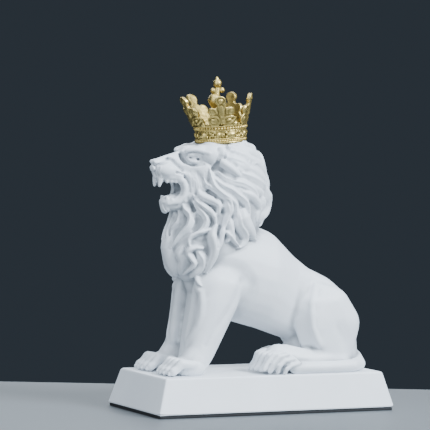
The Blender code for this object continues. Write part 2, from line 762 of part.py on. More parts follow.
WALL_RADIUS = 24.0
WALL_LENGTH = 2 * math.pi * WALL_RADIUS
FLEUR_PITCH = WALL_LENGTH / FLEURS
WALL_PROFILE = ((0, 18.6), (9, 18.6), (13, 19.6), (20, 21.6), (27, 24.5), (36.6, 27.5), (60, 34))


def plate(bm, x, z, half_length, half_height, front, back):
    """A flat plate of the wall with soft edges, between two depths."""
    middle, half = (front + back) / 2, (back - front) / 2
    place = Matrix.LocRotScale(
        Vector((x, middle, z)), None, Vector((half_length, half, half_height))
    )
    bmesh.ops.create_cube(bm, size=2.0, matrix=place)


def disc(bm, x, z, across, up, front, back):
    """A round or oval boss of the wall, between two depths."""
    place = Matrix.LocRotScale(
        Vector((x, (front + back) / 2, z)),
        Euler((math.pi / 2, 0, 0)),
        Vector((across, up, 1.0)),
    )
    bmesh.ops.create_cone(
        bm,
        cap_ends=True,
        segments=24,
        radius1=1.0,
        radius2=1.0,
        depth=back - front,
        matrix=place,
    )


def fleur(bm, x):
    """A scrolled fleuron: three lobes on a stem with a leaf on each side."""
    disc(bm, x, 32.6, 3.9, 4.0, -1.2, 1.3)
    plate(bm, x, 24.0, 2.8, 8.0, -1.2, 1.3)
    disc(bm, x, 24.6, 6.4, 4.2, -1.2, 1.3)
    disc(bm, x - 7.0, 24.2, 3.7, 3.7, -1.2, 1.3)
    disc(bm, x + 7.0, 24.2, 3.9, 3.9, -1.2, 1.3)
    disc(bm, x, 21.5, 6.0, 5.0, -1.2, 1.3)
    disc(bm, x - 7.2, 17.2, 5.4, 4.3, -1.2, 1.3)
    disc(bm, x + 7.6, 16.2, 6.0, 3.6, -1.2, 1.3)
    hull(bm, ((x + 9, 0, 16.6), (2, 1.2, 1.6)), ((x + 12.6, 0, 19.3), (1.0, 1.0, 1.0)))
    for place, radius in (((x, -1.2, 32.6), 2.0), ((x - 7, -1.2, 24.2), 1.8), ((x + 7, -1.2, 24.2), 2.0)):
        lump(bm, place, (radius, 1.1, radius))
    lump(bm, (x, -1.0, 23.5), (2.4, 1.4, 6.0))
    lump(bm, (x - 7.2, -1.0, 17.0), (4.0, 1.3, 2.6))


def crown_wall():
    bm = bmesh.new()
    middle = WALL_LENGTH / 2
    plate(bm, middle, 7.5, middle + 0.5, 7.3, -0.6, 1.9)
    plate(bm, middle, 1.6, middle + 0.5, 1.6, -1.3, 1.9)
    plate(bm, middle, 11.4, middle + 0.5, 1.5, -1.5, 1.9)
    for number in range(FLEURS):
        x = (number + 0.5) * FLEUR_PITCH
        fleur(bm, x)
        lump(bm, (x + 7.5, -0.6, 6.4), (4.4, 1.5, 2.4))
        lump(bm, (x - 5.5, -0.6, 6.4), (2.0, 1.4, 2.0))
    return fused(mesh_of(bm), CROWN_VOXEL)


def bent(mesh):
    """Bends the flat wall round to the crown's flaring profile."""
    points, _ = points_and_normals(mesh)
    heights, radii = np.array(WALL_PROFILE).T
    radius = np.interp(points[:, 2], heights, radii) - points[:, 1]
    angle = points[:, 0] / WALL_RADIUS + FIRST_FLEUR - math.pi / FLEURS
    lean = CROWN_LEAN * np.clip(points[:, 2] - 9.0, 0.0, None)
    points[:, 0] = radius * np.sin(angle) - lean
    points[:, 1] = -radius * np.cos(angle)
    mesh.vertices.foreach_set("co", points.ravel())
    mesh.update()
    return mesh


def finial(bm):
    """The floor of the crown, with a stem, an orb, two side balls and a bulb on it."""
    place = Matrix.Translation((0, 0, 1.6))
    bmesh.ops.create_cone(
        bm, cap_ends=True, segments=48, radius1=17.8, radius2=17.8, depth=3.2, matrix=place
    )
    lump(bm, (0, 0, 3), (8, 8, 3))
    chain(
        bm,
        [
            ((0, 0, 3), (3.6, 3.6, 2)),
            ((-2.0, 0, 24), (2.2, 2.2, 3)),
            ((-3.1, 0, 32.2), (5.4, 5.4, 5.4)),
        ],
    )
    hull(bm, ((-1.8, 0, 36.0), (2.6, 2.6, 2)), ((-0.6, 0, 42.0), (2.0, 2.0, 2)))
    for side in SIDES:
        lump(bm, (-0.6 + 3.1 * side, -1.4 * side, 39.6), (2.2, 2.2, 2.2))
    lump(bm, (-0.4, 0, 45.0), (3.4, 3.4, 3.4))
    hull(bm, ((-0.4, 0, 46.4), (2.4, 2.4, 2)), ((-0.6, 0, 49.1), (1.1, 1.1, 1.1)))


def crown_place():
    """Where the crown sits on the head, and how it leans forwards."""
    return Matrix.Translation((CROWN_MIDDLE, 0, CROWN_SEAT)) @ Matrix.Rotation(CROWN_TILT, 4, "Y")


def crown_mesh():
    bm = bmesh.new()
    add_mesh(bm, bent(crown_wall()))
    finial(bm)
    mesh = fused(mesh_of(bm), CROWN_VOXEL)
    mesh.transform(crown_place())
    return mesh


def seat_cutter():
    """What the crown's foot takes out of the head."""
    bm = bmesh.new()
    place = crown_place() @ Matrix.Translation((0, 0, 30 - REST_GAP))
    radius = CROWN_BASE + 1.3 + REST_GAP
    bmesh.ops.create_cone(
        bm, cap_ends=True, segments=48, radius1=radius, radius2=radius, depth=60, matrix=place
    )
    return mesh_of(bm)


# The pieces


def united(first, second):
    """Two closed skins made one."""
    tool = bpy.data.objects.new("joined", second)
    bpy.context.scene.collection.objects.link(tool)
    result = worked(first, ("BOOLEAN", {"operation": "UNION", "object": tool}))
    bpy.data.objects.remove(tool)
    bpy.data.meshes.remove(second)
    return result


def mended(mesh):
    """The mesh with the few edges closed up that thinning leaves open or doubled."""
    bm = bmesh.new()
    add_mesh(bm, mesh)
    for _ in range(8):
        poor = [edge for edge in bm.edges if len(edge.link_faces) != 2]
        if not poor:
            break
        bmesh.ops.collapse(bm, edges=poor)
        bmesh.ops.dissolve_degenerate(bm, dist=0.001, edges=bm.edges[:])
        loose = [vert for vert in bm.verts if not vert.link_faces]
        bmesh.ops.delete(bm, geom=loose, context="VERTS")
    return mesh_of(bm)


def thinned(mesh, triangles):
    """The mesh with about so many triangles."""
    mesh = worked(mesh, ("TRIANGULATE", {}))
    share = min(1.0, triangles / len(mesh.polygons))
    settings = {"ratio": share, "use_collapse_triangulate": True}
    return mended(worked(mesh, ("DECIMATE", settings)))


def material(name, colour, metallic, roughness):
    made = bpy.data.materials.new(name)
    made.use_nodes = True
    shader = made.node_tree.nodes["Principled BSDF"]
    shader.inputs["Base Color"].default_value = colour
    shader.inputs["Metallic"].default_value = metallic
    shader.inputs["Roughness"].default_value = roughness
    return made


def piece(collection, name, mesh, stuff):
    """A finished piece in metres, with its own material."""
    mesh.transform(Matrix.Scale(0.001, 4))
    mesh.name = name
    mesh.materials.clear()
    mesh.materials.append(stuff)
    obj = bpy.data.objects.new(name, mesh)
    collection.objects.link(obj)
    return obj


def main():
    for obj in list(bpy.data.objects):
        bpy.data.objects.remove(obj)
    collection = bpy.data.collections.new("Crowned lion sculpture")
    bpy.context.scene.collection.children.link(collection)
    lion = thinned(cut(lion_mesh(), seat_cutter()), LION_TRIANGLES)
    piece(
        collection,
        "lion_with_plinth",
        united(plinth_mesh(), lion),
        material("white resin", (0.80, 0.81, 0.83, 1), 0.0, 0.55),
    )
    piece(
        collection,
        "crown",
        thinned(crown_mesh(), CROWN_TRIANGLES),
        material("gold paint", (0.55, 0.43, 0.18, 1), 0.9, 0.35),
    )
    piece(
        collection,
        "base_pad",
        pad_mesh(),
        material("black pad", (0.01, 0.01, 0.01, 1), 0.0, 0.9),
    )


if __name__ == "__main__":
    main()
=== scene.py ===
"""The looks of a crowned lion on its plinth: white casting, gold crown, dark pad, stage and camera.

The clay work is done at one unit to the millimetre, and each finished piece is scaled to metres.
The lion looks along -X, its left flank is towards -Y, and Z = 0 is the surface it stands on.
"""

import math
import random

import bmesh
import bpy
import numpy as np
from mathutils import Euler, Matrix, Vector
from mathutils.bvhtree import BVHTree


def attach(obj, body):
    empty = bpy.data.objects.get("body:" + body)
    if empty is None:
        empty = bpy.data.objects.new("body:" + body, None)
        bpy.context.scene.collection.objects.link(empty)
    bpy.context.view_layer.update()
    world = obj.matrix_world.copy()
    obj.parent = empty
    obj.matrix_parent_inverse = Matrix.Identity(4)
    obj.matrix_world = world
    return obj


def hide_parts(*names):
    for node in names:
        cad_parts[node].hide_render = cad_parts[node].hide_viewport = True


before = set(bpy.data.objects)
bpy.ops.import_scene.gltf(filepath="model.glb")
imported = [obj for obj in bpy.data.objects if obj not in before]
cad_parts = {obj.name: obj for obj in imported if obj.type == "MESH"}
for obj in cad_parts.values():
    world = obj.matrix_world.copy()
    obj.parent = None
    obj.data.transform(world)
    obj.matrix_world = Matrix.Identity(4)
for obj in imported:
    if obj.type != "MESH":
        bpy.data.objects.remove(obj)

bl_info = {
    "name": "Crowned lion sculpture",
    "version": (1, 0, 0),
    "blender": (4, 5, 0),
    "location": "3D View > Sidebar > Crowned lion",
    "description": "Makes the fine surface of a crowned lion on a plinth, and a plain stage",
    "category": "Object",
}

MILLIMETRE = 0.001

# Driving dimensions, in millimetres
PLINTH_LENGTH = 202.0
PLINTH_WIDTH = 95.0
PLINTH_TOP_LENGTH = 186.0
PLINTH_TOP_WIDTH = 83.0
PLINTH_TOP = 29.8
PLINTH_EDGE = 1.2
PAD_THICKNESS = 2.2
PAD_INSET = 1.2
REST_GAP = 0.3
CROWN_SEAT = 207.0
CROWN_MIDDLE = -30.5
CROWN_TILT = math.radians(-4.5)
CROWN_LEAN = 0.118
CROWN_BASE = 18.6
FLEURS = 5
FIRST_FLEUR = math.radians(-18.0)
FAR_LEG_BACK = 25.0

# How finely the clay is worked: voxel sizes in millimetres, then sides and triangles
BODY_VOXEL = 1.6
HEAD_VOXEL = 0.7
SKIN_VOXEL = 0.6
CROWN_VOXEL = 0.36
LOCK_SIDES = 28
TUBE_SIDES = 8
ROUND_SIDES = 48
LION_TRIANGLES = 188000
CROWN_TRIANGLES = 130000
CHEEK_HAIRS = 8

# The leaning axis that the mane's locks are measured round: where it stands at one level, how far it
# goes forwards for each millimetre down, the level over which the locks fan out over the head, and
# about how far the skin lies from it
MANE_AXIS_X = -30.0
MANE_AXIS_LEAN = 0.16
MANE_AXIS_LEVEL = 175
MANE_DOME_LEVEL = 185
MANE_DOME_RADIUS = 26
MANE_REACH = 25

# How far out a ray starts that looks for the skin, in millimetres
OUTSIDE = 120

# How far around a point its hollow is measured, and how deep a full hollow is, in millimetres, but
# for the beads in metres, which their mesh is made in. Then the passes that calm the result, and the
# painted shade on the crown's inner face, further out than its finial.
FINE_RECESS = (1.6, 0.42)
BROAD_RECESS = (7.0, 1.7)
CROWN_RECESS = (0.9, 0.22)
BEAD_RECESS = (0.0005, 0.001)
RECESS_CALM = 4
INSIDE_SHADE = 0.60
FINIAL_REACH = 12.0

# How wide and how deep the second pass over the lines of the face is, as shares of the first
FACE_LINE_WIDTH = 0.75
FACE_LINE_DEPTH = 0.7

# The angles past which an edge is shaded as a crease
CASTING_CREASE = math.radians(50)
PAD_CREASE = math.radians(40)

# The stage, in metres: half the floor's length, the film's width in millimetres, and the lamps' aim
FLOOR_SIZE = 3.0
FILM_WIDTH = 36.0
LAMP_AIM = (-0.01, 0.0, 0.12)
LAMP_COLOUR = (0.83, 0.915, 1.0)

NEAR, FAR = -1.0, 1.0
SIDES = (NEAR, FAR)

# What the settings for colours, shares and lamp powers have in common
COLOUR = {"subtype": "COLOR", "size": 4, "min": 0, "max": 1}
SHARE = {"subtype": "FACTOR", "min": 0, "max": 1}
POWER = {"subtype": "POWER", "min": 0}


# Settings


class LionSettings(bpy.types.PropertyGroup):
    """The white casting."""

    colour: bpy.props.FloatVectorProperty(
        name="Colour",
        description="Colour of the white resin where it stands proud",
        default=(0.79, 0.82, 0.86, 1),
        **COLOUR,
    )
    # Painted shade: the colour that the hollows of the carving are darkened towards
    hollow_shade_colour: bpy.props.FloatVectorProperty(
        name="Hollow colour",
        description="Colour of the resin down in the carving",
        default=(0.21, 0.225, 0.245, 1),
        **COLOUR,
    )
    roughness: bpy.props.FloatProperty(
        name="Roughness",
        description="How matt the resin is",
        default=0.46,
        **SHARE,
    )


class CrownSettings(bpy.types.PropertyGroup):
    """The gold crown."""

    colour: bpy.props.FloatVectorProperty(
        name="Colour",
        description="Colour of the gold where it is rubbed bright",
        default=(0.74, 0.57, 0.20, 1),
        **COLOUR,
    )
    # The same dark colour is also painted as shade on the crown's inner face
    wash_and_shade_colour: bpy.props.FloatVectorProperty(
        name="Wash colour",
        description="Colour of the dark wash left in the recesses",
        default=(0.10, 0.07, 0.012, 1),
        **COLOUR,
    )
    roughness: bpy.props.FloatProperty(
        name="Roughness",
        description="How dull the gold paint is",
        default=0.46,
        **SHARE,
    )
    foot_beads: bpy.props.IntProperty(
        name="Foot beads",
        description="Beads round the foot of the crown",
        min=8,
        max=200,
        default=64,
    )
    rim_beads: bpy.props.IntProperty(
        name="Rim beads",
        description="Beads round the moulding over the band",
        min=8,
        max=200,
        default=54,
    )
    bead_size: bpy.props.FloatProperty(
        name="Bead size",
        description="Radius of a bead",
        unit="LENGTH",
        min=0.0002,
        max=0.003,
        default=0.00105,
    )


class PadSettings(bpy.types.PropertyGroup):
    """The pad under the plinth."""

    colour: bpy.props.FloatVectorProperty(
        name="Colour",
        description="Colour of the pad",
        default=(0.012, 0.013, 0.015, 1),
        **COLOUR,
    )
    edge: bpy.props.FloatProperty(
        name="Edge",
        description="Radius of the pad's rounded edges",
        unit="LENGTH",
        min=0.0001,
        max=0.001,
        default=0.0006,
    )


class StageSettings(bpy.types.PropertyGroup):
    """Floor, background, lights and camera."""

    floor_colour: bpy.props.FloatVectorProperty(
        name="Floor colour",
        description="Colour of the plain floor",
        default=(0.105, 0.116, 0.125, 1),
        **COLOUR,
    )
    floor_behind: bpy.props.FloatProperty(
        name="Floor behind",
        description="How far the floor goes on behind the middle of the sculpture",
        unit="LENGTH",
        min=0.12,
        default=0.150,
    )
    background_colour: bpy.props.FloatVectorProperty(
        name="Background colour",
        description="Colour of the empty space behind the floor",
        default=(0.0265, 0.0350, 0.0450, 1),
        **COLOUR,
    )
    azimuth: bpy.props.FloatProperty(
        name="Azimuth",
        description="Which way round the sculpture the camera stands",
        subtype="ANGLE",
        default=math.radians(-26.2),
    )
    elevation: bpy.props.FloatProperty(
        name="Elevation",
        description="How far above the horizon the camera stands",
        subtype="ANGLE",
        default=math.radians(3.39),
    )
    roll: bpy.props.FloatProperty(
        name="Roll",
        description="How far the camera leans",
        subtype="ANGLE",
        default=math.radians(1.10),
    )
    distance: bpy.props.FloatProperty(
        name="Distance",
        description="How far the camera stands from what it looks at",
        unit="LENGTH",
        min=0.5,
        default=2.527,
    )
    aim: bpy.props.FloatVectorProperty(
        name="Aim",
        description="The point that the camera looks at",
        subtype="XYZ",
        unit="LENGTH",
        size=3,
        default=(-0.0273, 0.0144, 0.1495),
    )
    lens: bpy.props.FloatProperty(
        name="Lens",
        description="Focal length in millimetres",
        min=20,
        default=273.0,
    )
    key_light: bpy.props.FloatProperty(
        name="Key light",
        description="Power of the soft light from the right",
        default=130.0,
        **POWER,
    )
    fill_light: bpy.props.FloatProperty(
        name="Fill light",
        description="Power of the soft light from the left",
        default=37.0,
        **POWER,
    )
    top_light: bpy.props.FloatProperty(
        name="Top light",
        description="Power of the wide soft light overhead",
        default=56.0,
        **POWER,
    )
    back_light: bpy.props.FloatProperty(
        name="Back light",
        description="Power of the soft light behind the sculpture",
        default=24.0,
        **POWER,
    )


# Clay tools


def lump(bm, centre, radii, turn=(0.0, 0.0, 0.0)):
    """An ellipsoid of clay."""
    bmesh.ops.create_icosphere(bm, subdivisions=3, radius=1.0, matrix=place_of(centre, radii, turn))


def drop_loose(bm):
    """Deletes the points that no face uses."""
    loose = [vert for vert in bm.verts if not vert.link_faces]
    bmesh.ops.delete(bm, geom=loose, context="VERTS")


def hull(bm, *balls):
    """The tight skin round ellipsoids, each given as (centre, radii)."""
    group = bmesh.new()
    for centre, radii in balls:
        lump(group, centre, radii)
    bmesh.ops.delete(group, geom=group.edges[:], context="EDGES_FACES")
    bmesh.ops.convex_hull(group, input=group.verts[:])
    drop_loose(group)
    bmesh.ops.recalc_face_normals(group, faces=group.faces[:])
    add_mesh(bm, mesh_of(group))


def chain(bm, stations):
    """Bridges between each ellipsoid and the next."""
    for first, second in zip(stations, stations[1:]):
        hull(bm, first, second)


def balls_along(bm, path, size, side):
    """A chain of balls of one size, on the flank asked for."""
    chain(bm, [(place, (size, size, size)) for place in mirrored(path, side)])


def mesh_of(bm):
    mesh = bpy.data.meshes.new("clay")
    bm.to_mesh(mesh)
    bm.free()
    return mesh


def skin(bm, rings):
    """Faces between each ring of points and the next, and over both ends."""
    for near, far in zip(rings, rings[1:]):
        for corner in range(len(near)):
            following = (corner + 1) % len(near)
            bm.faces.new((near[corner], near[following], far[following], far[corner]))
    bm.faces.new(list(reversed(rings[0])))
    bm.faces.new(rings[-1])


def place_of(centre, size, turn=(0.0, 0.0, 0.0)):
    """The matrix that puts a unit shape at a centre, with a size and a turn."""
    return Matrix.LocRotScale(Vector(centre), Euler(turn), Vector(size))


def add_mesh(bm, mesh):
    """Joins a mesh to bm and drops the mesh."""
    bm.from_mesh(mesh)
    bpy.data.meshes.remove(mesh)


def worked(mesh, *steps):
    """The mesh after a run of modifiers, each given as (type, settings)."""
    obj = bpy.data.objects.new("worked", mesh)
    bpy.context.scene.collection.objects.link(obj)
    for kind, settings in steps:
        modifier = obj.modifiers.new(kind, kind)
        for name, value in settings.items():
            setattr(modifier, name, value)
    graph = bpy.context.evaluated_depsgraph_get()
    result = bpy.data.meshes.new_from_object(obj.evaluated_get(graph))
    bpy.data.objects.remove(obj)
    bpy.data.meshes.remove(mesh)
    return result


def fused(mesh, voxel, blur=0.0):
    """Overlapping lumps made one skin, then rubbed smooth over a distance of about blur."""
    steps = [("REMESH", {"mode": "VOXEL", "voxel_size": voxel})]
    if blur:
        passes = max(1, round(2 * (blur / voxel) ** 2))
        steps.append(("SMOOTH", {"factor": 0.5, "iterations": passes}))
    return worked(mesh, *steps)


def combined(first, second, operation):
    """Two closed skins made one by a DIFFERENCE or a UNION, which uses both up."""
    tool = bpy.data.objects.new("second", second)
    bpy.context.scene.collection.objects.link(tool)
    result = worked(first, ("BOOLEAN", {"operation": operation, "object": tool}))
    bpy.data.objects.remove(tool)
    bpy.data.meshes.remove(second)
    return result


def points_and_normals(mesh):
    """The mesh's points and their normals, as two arrays with a row to the point."""
    points = np.empty(len(mesh.vertices) * 3)
    normals = np.empty(len(mesh.vertices) * 3)
    mesh.vertices.foreach_get("co", points)
    mesh.vertex_normals.foreach_get("vector", normals)
    return points.reshape(-1, 3), normals.reshape(-1, 3)


def distance_to_path(points, path):
    """How far each point is from a polyline."""
    nearest = np.full(len(points), np.inf)
    for start, end in zip(path, path[1:]):
        start, along = np.array(start), np.array(end) - np.array(start)
        share = np.clip((points - start) @ along / (along @ along), 0.0, 1.0)
        gap = np.linalg.norm(points - start - share[:, None] * along, axis=1)
        nearest = np.minimum(nearest, gap)
    return nearest


def stroke(mesh, path, radius, height):
    """Draws the surface out along its normals near a path, or presses it in where height is negative."""
    points, normals = points_and_normals(mesh)
    low = np.min(path, axis=0) - radius
    high = np.max(path, axis=0) + radius
    near = np.flatnonzero(((points > low) & (points < high)).all(axis=1))
    if not len(near):
        return
    share = np.clip(distance_to_path(points[near], path) / radius, 0.0, 1.0)
    swell = (1.0 - share**2) ** 2
    points[near] += normals[near] * (height * swell)[:, None]
    mesh.vertices.foreach_set("co", points.ravel())
    mesh.update()


def mirrored(points, side):
    """Points given for the flank towards +Y, on the side asked for."""
    return [(x, y * side, z) for x, y, z in points]


def smooth_curve(points, share):
    """The point at a share of the way along a Catmull-Rom curve through points."""
    last = len(points) - 1
    place = min(max(share, 0.0), 1.0) * last
    index = min(int(place), last - 1)
    t = place - index
    before, start, end, after = (
        Vector(points[min(max(i, 0), last)]) for i in range(index - 1, index + 3)
    )
    return 0.5 * (
        2 * start
        + (end - before) * t
        + (2 * before - 5 * start + 4 * end - after) * t**2
        + (3 * start - before - 3 * end + after) * t**3
    )


def smooth_path(marks, count):
    """So many points along a smooth curve through marks."""
    return [smooth_curve(marks, step / (count - 1)) for step in range(count)]


# The body


def trunk(bm):
    """Chest, barrel, loin and rump, as sections down the sloping back."""
    chain(
        bm,
        [
            ((-34, 0, 110), (26, 26, 32)),
            ((-16, 0, 107), (24, 27, 39.5)),
            ((6, 0, 100), (21, 27, 38.8)),
            ((24, 0, 88.5), (20, 20.5, 33.5)),
            ((40, 0, 80), (18, 19.5, 30.5)),
            ((56, 0, 74.5), (18, 26, 28.5)),
            ((65, 0, 63), (22, 27, 32)),
        ],
    )
    hull(bm, ((65, 0, 62), (21, 27, 28)), ((69, 0, 42), (19, 27, 14)))


def back_by(side):
    """The far hind leg sits further back than the near one: it isn't seen in the gap."""
    return FAR_LEG_BACK if side == FAR else 0.0


def haunch(bm, side):
    """A folded hind leg: thigh, knee, shin and the foot flat on the plinth."""
    back = back_by(side)
    knee = back * 0.08
    ridge = [(45, 17, 96), (38.5, 26, 84), (37.5, 28, 74), (38.5, 28.5, 64), (42, 28.5, 54)]
    groin = [(33, 12, 92), (30, 17, 82), (30, 18, 70), (32, 18, 60), (35, 18, 52)]
    front = [((x + knee, y * side, z), (3, 3, 3)) for x, y, z in ridge + groin]
    hull(
        bm,
        *front,
        ((58, 19 * side, 82), (15, 12, 13)),
        ((63, 21 * side, 66), (19, 12, 18)),
        ((62 + knee * 0.5, 22.5 * side, 46), (14, 9.5, 12)),
    )
    chain(
        bm,
        [
            ((62, 24 * side, 38), (12, 9, 10)),
            ((37 + back * 0.5, 25 * side, 38.5), (12, 8, 8)),
            ((17 + back, 22 * side, 40.5 - back * 0.12), (11, 10, 11 - back * 0.08)),
            ((7 + back, 21 * side, 38 - back * 0.08), (8, 11, 9 - back * 0.04)),
        ],
    )


def foreleg(bm, side):
    """Shoulder, upper arm and forearm, down to the wrist."""
    hull(
        bm,
        ((-42, 19 * side, 96), (15, 11, 16)),
        ((-50, 18 * side, 94), (9, 9, 14)),
        ((-33, 20 * side, 97), (12, 10, 10)),
        ((-41, 20 * side, 84), (17, 11, 13)),
    )
    chain(
        bm,
        [
            ((-41, 20 * side, 86), (18, 11, 13)),
            ((-48, 20 * side, 64), (13.5, 10.5, 12)),
            ((-54, 20 * side, 48), (11.5, 9.5, 10)),
            ((-60, 20 * side, 39), (12, 10.5, 9)),
        ],
    )
    hull(bm, ((-56, 15 * side, 92), (4, 4, 10)), ((-62, 13 * side, 56), (3.5, 4, 8)))


def web(bm):
    """The clay left between the forelegs and between the knees, set back from their fronts."""
    hull(bm, ((-45, 0, 92), (10, 12, 20)), ((-54, 0, 32), (9, 12, 8)))
    hull(bm, ((37, 0, 68), (8, 17, 14)), ((39, 0, 48), (8, 17, 9)))


def neck(bm):
    """The mass of the mane, from the crown of the head to the chest, before its locks."""
    chain(
        bm,
        [
            ((-27, 0, 190), (29.6, 23.5, 19.0)),
            ((-25, 0, 173), (31, 25, 25)),
            ((-29, 0, 154), (33, 26, 24)),
            ((-38.5, 0, 128), (36, 25.5, 24)),
            ((-45.5, 0, 114), (25.5, 21.5, 17)),
        ],
    )


def drawn(tree, path, side, count):
    """A path drawn in side elevation as (x, z), laid on the skin of one flank."""
    path = [Vector((x, 0, z)) for x, z in path]
    path = smooth_path(path, count)
    laid = []
    for point in path:
        start = Vector((point.x, OUTSIDE * side, point.z))
        place, _, _, _ = tree.ray_cast(start, Vector((0, -side, 0)))
        if place is not None:
            laid.append(tuple(place))
    return laid


def tree_of(mesh):
    """The tree that rays are cast against."""
    bm = bmesh.new()
    bm.from_mesh(mesh)
    tree = BVHTree.FromBMesh(bm)
    bm.free()
    return tree


def body_clay():
    bm = bmesh.new()
    trunk(bm)
    web(bm)
    for side in SIDES:
        haunch(bm, side)
        foreleg(bm, side)
    mesh = fused(mesh_of(bm), BODY_VOXEL, blur=2.6)
    tree = tree_of(mesh)
    for side in SIDES:
        for path, radius, height in (
            ([(-52, 116), (-36, 114), (-22, 108), (-15, 97), (-18, 84), (-28, 70)], 8, -1.8),
            ([(-24, 101), (-33, 84), (-42, 72), (-49, 63), (-54, 54)], 4.6, -0.9),
            ([(60, 64), (66, 53), (72, 42)], 8.0, -0.9),
        ):
            stroke(mesh, drawn(tree, path, side, 16), radius, height)
        shin = [(-62, 18, 98), (-57, 24, 93), (-56, 25, 84), (-56.5, 25, 76), (-58, 23.5, 68)]
        shin += [(-62, 19.5, 58), (-68, 14.5, 49)]
        stroke(mesh, mirrored(shin, side), 4.0, 1.6)
        back = back_by(side) * 0.08
        edge = [(44.5, 20, 97.5), (36, 29, 81), (36.5, 30.5, 65), (43.5, 31, 49.5)]
        edge = [(x + back, y, z) for x, y, z in edge]
        stroke(mesh, mirrored(edge, side), 3.6, 1.1)
    return mesh


def mane_core():
    bm = bmesh.new()
    neck(bm)
    top = [((x, 9 * side, z), (12, 12, 9.5)) for x, z in ((-42, 199), (-22, 197)) for side in SIDES]
    hull(bm, *top)
    return fused(mesh_of(bm), BODY_VOXEL, blur=2.5)


# Paws and tail


def toe(bm, root, knuckle, tip, size):
    """One toe from the paw over its knuckle to its claw."""
    dip = [(k + t) / 2 for k, t in zip(knuckle, tip)]
    chain(
        bm,
        [
            (root, (size * 1.1, size * 0.9, size * 0.9)),
            (knuckle, (size, size * 0.92, size * 0.95)),
            ((dip[0], dip[1], dip[2] - 0.6), (size * 0.8, size * 0.8, size * 0.72)),
            (tip, (size * 0.82, size * 0.88, size * 0.8)),
        ],
    )
    claw = (tip[0] - size * 0.75, tip[1], tip[2] - size * 0.35)
    lump(bm, claw, (size * 0.4, size * 0.34, size * 0.42))


def forepaw(bm, side):
    lump(bm, (-64, 20 * side, 36), (13, 13, 9))
    for number in range(4):
        across = (20 + (number - 1.5) * 6.8) * side
        reach = 1.5 * (1 - abs(number - 1.5) / 1.5)
        toe(
            bm,
            (-66, across, 38.0),
            (-75.0 - reach, across, 39.4),
            (-82 - reach, across, 33.6),
            4.1,
        )


def hind_paw(bm, side):
    back = 3 + back_by(side)
    drop = back_by(side) * 0.12
    lump(bm, (9 + back, 21 * side, 38 - drop), (13, 12, 13.5 - drop))
    for number in range(4):
        across = (21 + (number - 1.5) * 6.4) * side
        reach = 2.0 * (1 - abs(number - 1.5) / 1.5) - back
        toe(
            bm,
            (3 + back, across, 44.2 - drop),
            (-2.6 - reach, across, 42.6 - drop),
            (-7.5 - reach, across, 34.4),
            4.0,
        )


def tail(bm):
    """The tail, from the rump round the near haunch and along the plinth's edge."""
    route = [
        ((80, -2, 44), 6.5),
        ((84, -12, 38), 6.0),
        ((80, -26, 35), 5.4),
        ((70, -34.5, 34.5), 5.0),
        ((55, -36, 34.2), 4.8),
        ((34, -36, 34.2), 4.8),
        ((20, -35, 34.5), 5.2),
    ]
    chain(bm, [(place, (size, size, size)) for place, size in route])
    tuft = [
        ((20, -35.0, 35.5), (5.5, 4.8, 5.2)),
        ((12, -35.5, 40.5), (5.5, 4.6, 5.6)),
        ((5, -36.0, 41.5), (4.6, 4.4, 5.4)),
        ((0, -36.4, 38.0), (3.4, 3.6, 4.4)),
        ((-3, -36.6, 32.5), (1.8, 2.2, 2.0)),
    ]
    chain(bm, tuft)
    for strand in (
        [(11, -38.8, 45.0), (3, -39.6, 43.5), (-1.5, -39.6, 38.5), (-4, -38.6, 33)],
        [(16, -39.0, 41.5), (8, -40.2, 40.5), (3.5, -40.4, 36.5), (2.5, -39.4, 32)],
        [(21, -38.8, 38.0), (14, -40.4, 36.8), (9.5, -40.4, 34.0), (8.5, -39.6, 31)],
        [(9, -36.0, 46.5), (0, -36.4, 45.0), (-5, -36.6, 39.0), (-8, -36.8, 34)],
    ):
        chain(bm, [(place, (1.7, 1.5, 1.7)) for place in strand])


# The head


def skull(bm):
    """Cranium, brow, bridge of the nose, muzzle and lower jaw of the open-mouthed head."""
    lump(bm, (-37, 0, 190), (22, 20, 19))
    hull(bm, ((-44, 0, 190), (15, 17, 15)), ((-59.5, 0, 193), (8, 10, 11.2)))
    hull(bm, ((-58, 0, 196), (8, 7.5, 6)), ((-84.5, 0, 190), (5.0, 5.6, 4.2)))
    hull(bm, ((-62, 0, 187), (12, 12, 9)), ((-78, 0, 184.5), (8, 8.5, 5.6)))
    hull(bm, ((-47, 0, 165), (13, 13, 12)), ((-72, 0, 158.8), (7.5, 7.5, 5.0)))
    lump(bm, (-48, 0, 172), (12, 15, 16))
    hull(bm, *(((-59.5, y, z), (4.5, 4, 4)) for y in (-9, 9) for z in (166, 177)))
    nose = [((-87.8, 3.2 * side, 191.6), (1.9, 2.2, 1.9)) for side in SIDES]
    nose += [((-87.6, 2.4 * side, 185.5), (1.8, 2.2, 1.8)) for side in SIDES]
    hull(bm, *nose, ((-80, 0, 190.5), (3, 4.5, 3.5)))
    hull(bm, ((-87.4, 0, 186), (1.6, 2.6, 1.6)), ((-85.6, 0, 180.4), (1.8, 3.4, 1.8)))
    for side in SIDES:
        hull(
            bm,
            ((-61.5, 9.0 * side, 199.4), (3.2, 3.4, 2.8)),
            ((-53, 13 * side, 200.5), (6.5, 5, 5)),
        )
        lump(bm, (-45, 13 * side, 197.5), (9.5, 9, 9))
        hull(
            bm,
            ((-60, 9 * side, 183), (5.5, 5, 7)),
            ((-50, 12 * side, 186), (7, 6.5, 9)),
            ((-50, 11.5 * side, 170), (7, 6, 9)),
        )
        lump(bm, (-77.2, 5.5 * side, 185.2), (9.0, 6.4, 6.4))
        lump(bm, (-70, 9.6 * side, 183), (5, 3.4, 3.4))


def mouth_cutter():
    """A wedge that opens from the corners of the mouth to the front."""
    bm = bmesh.new()
    hull(bm, ((-69.4, 0, 169.8), (4.0, 40, 4.2)), ((-98, 0, 172.0), (8, 40, 6.6)))
    return mesh_of(bm)


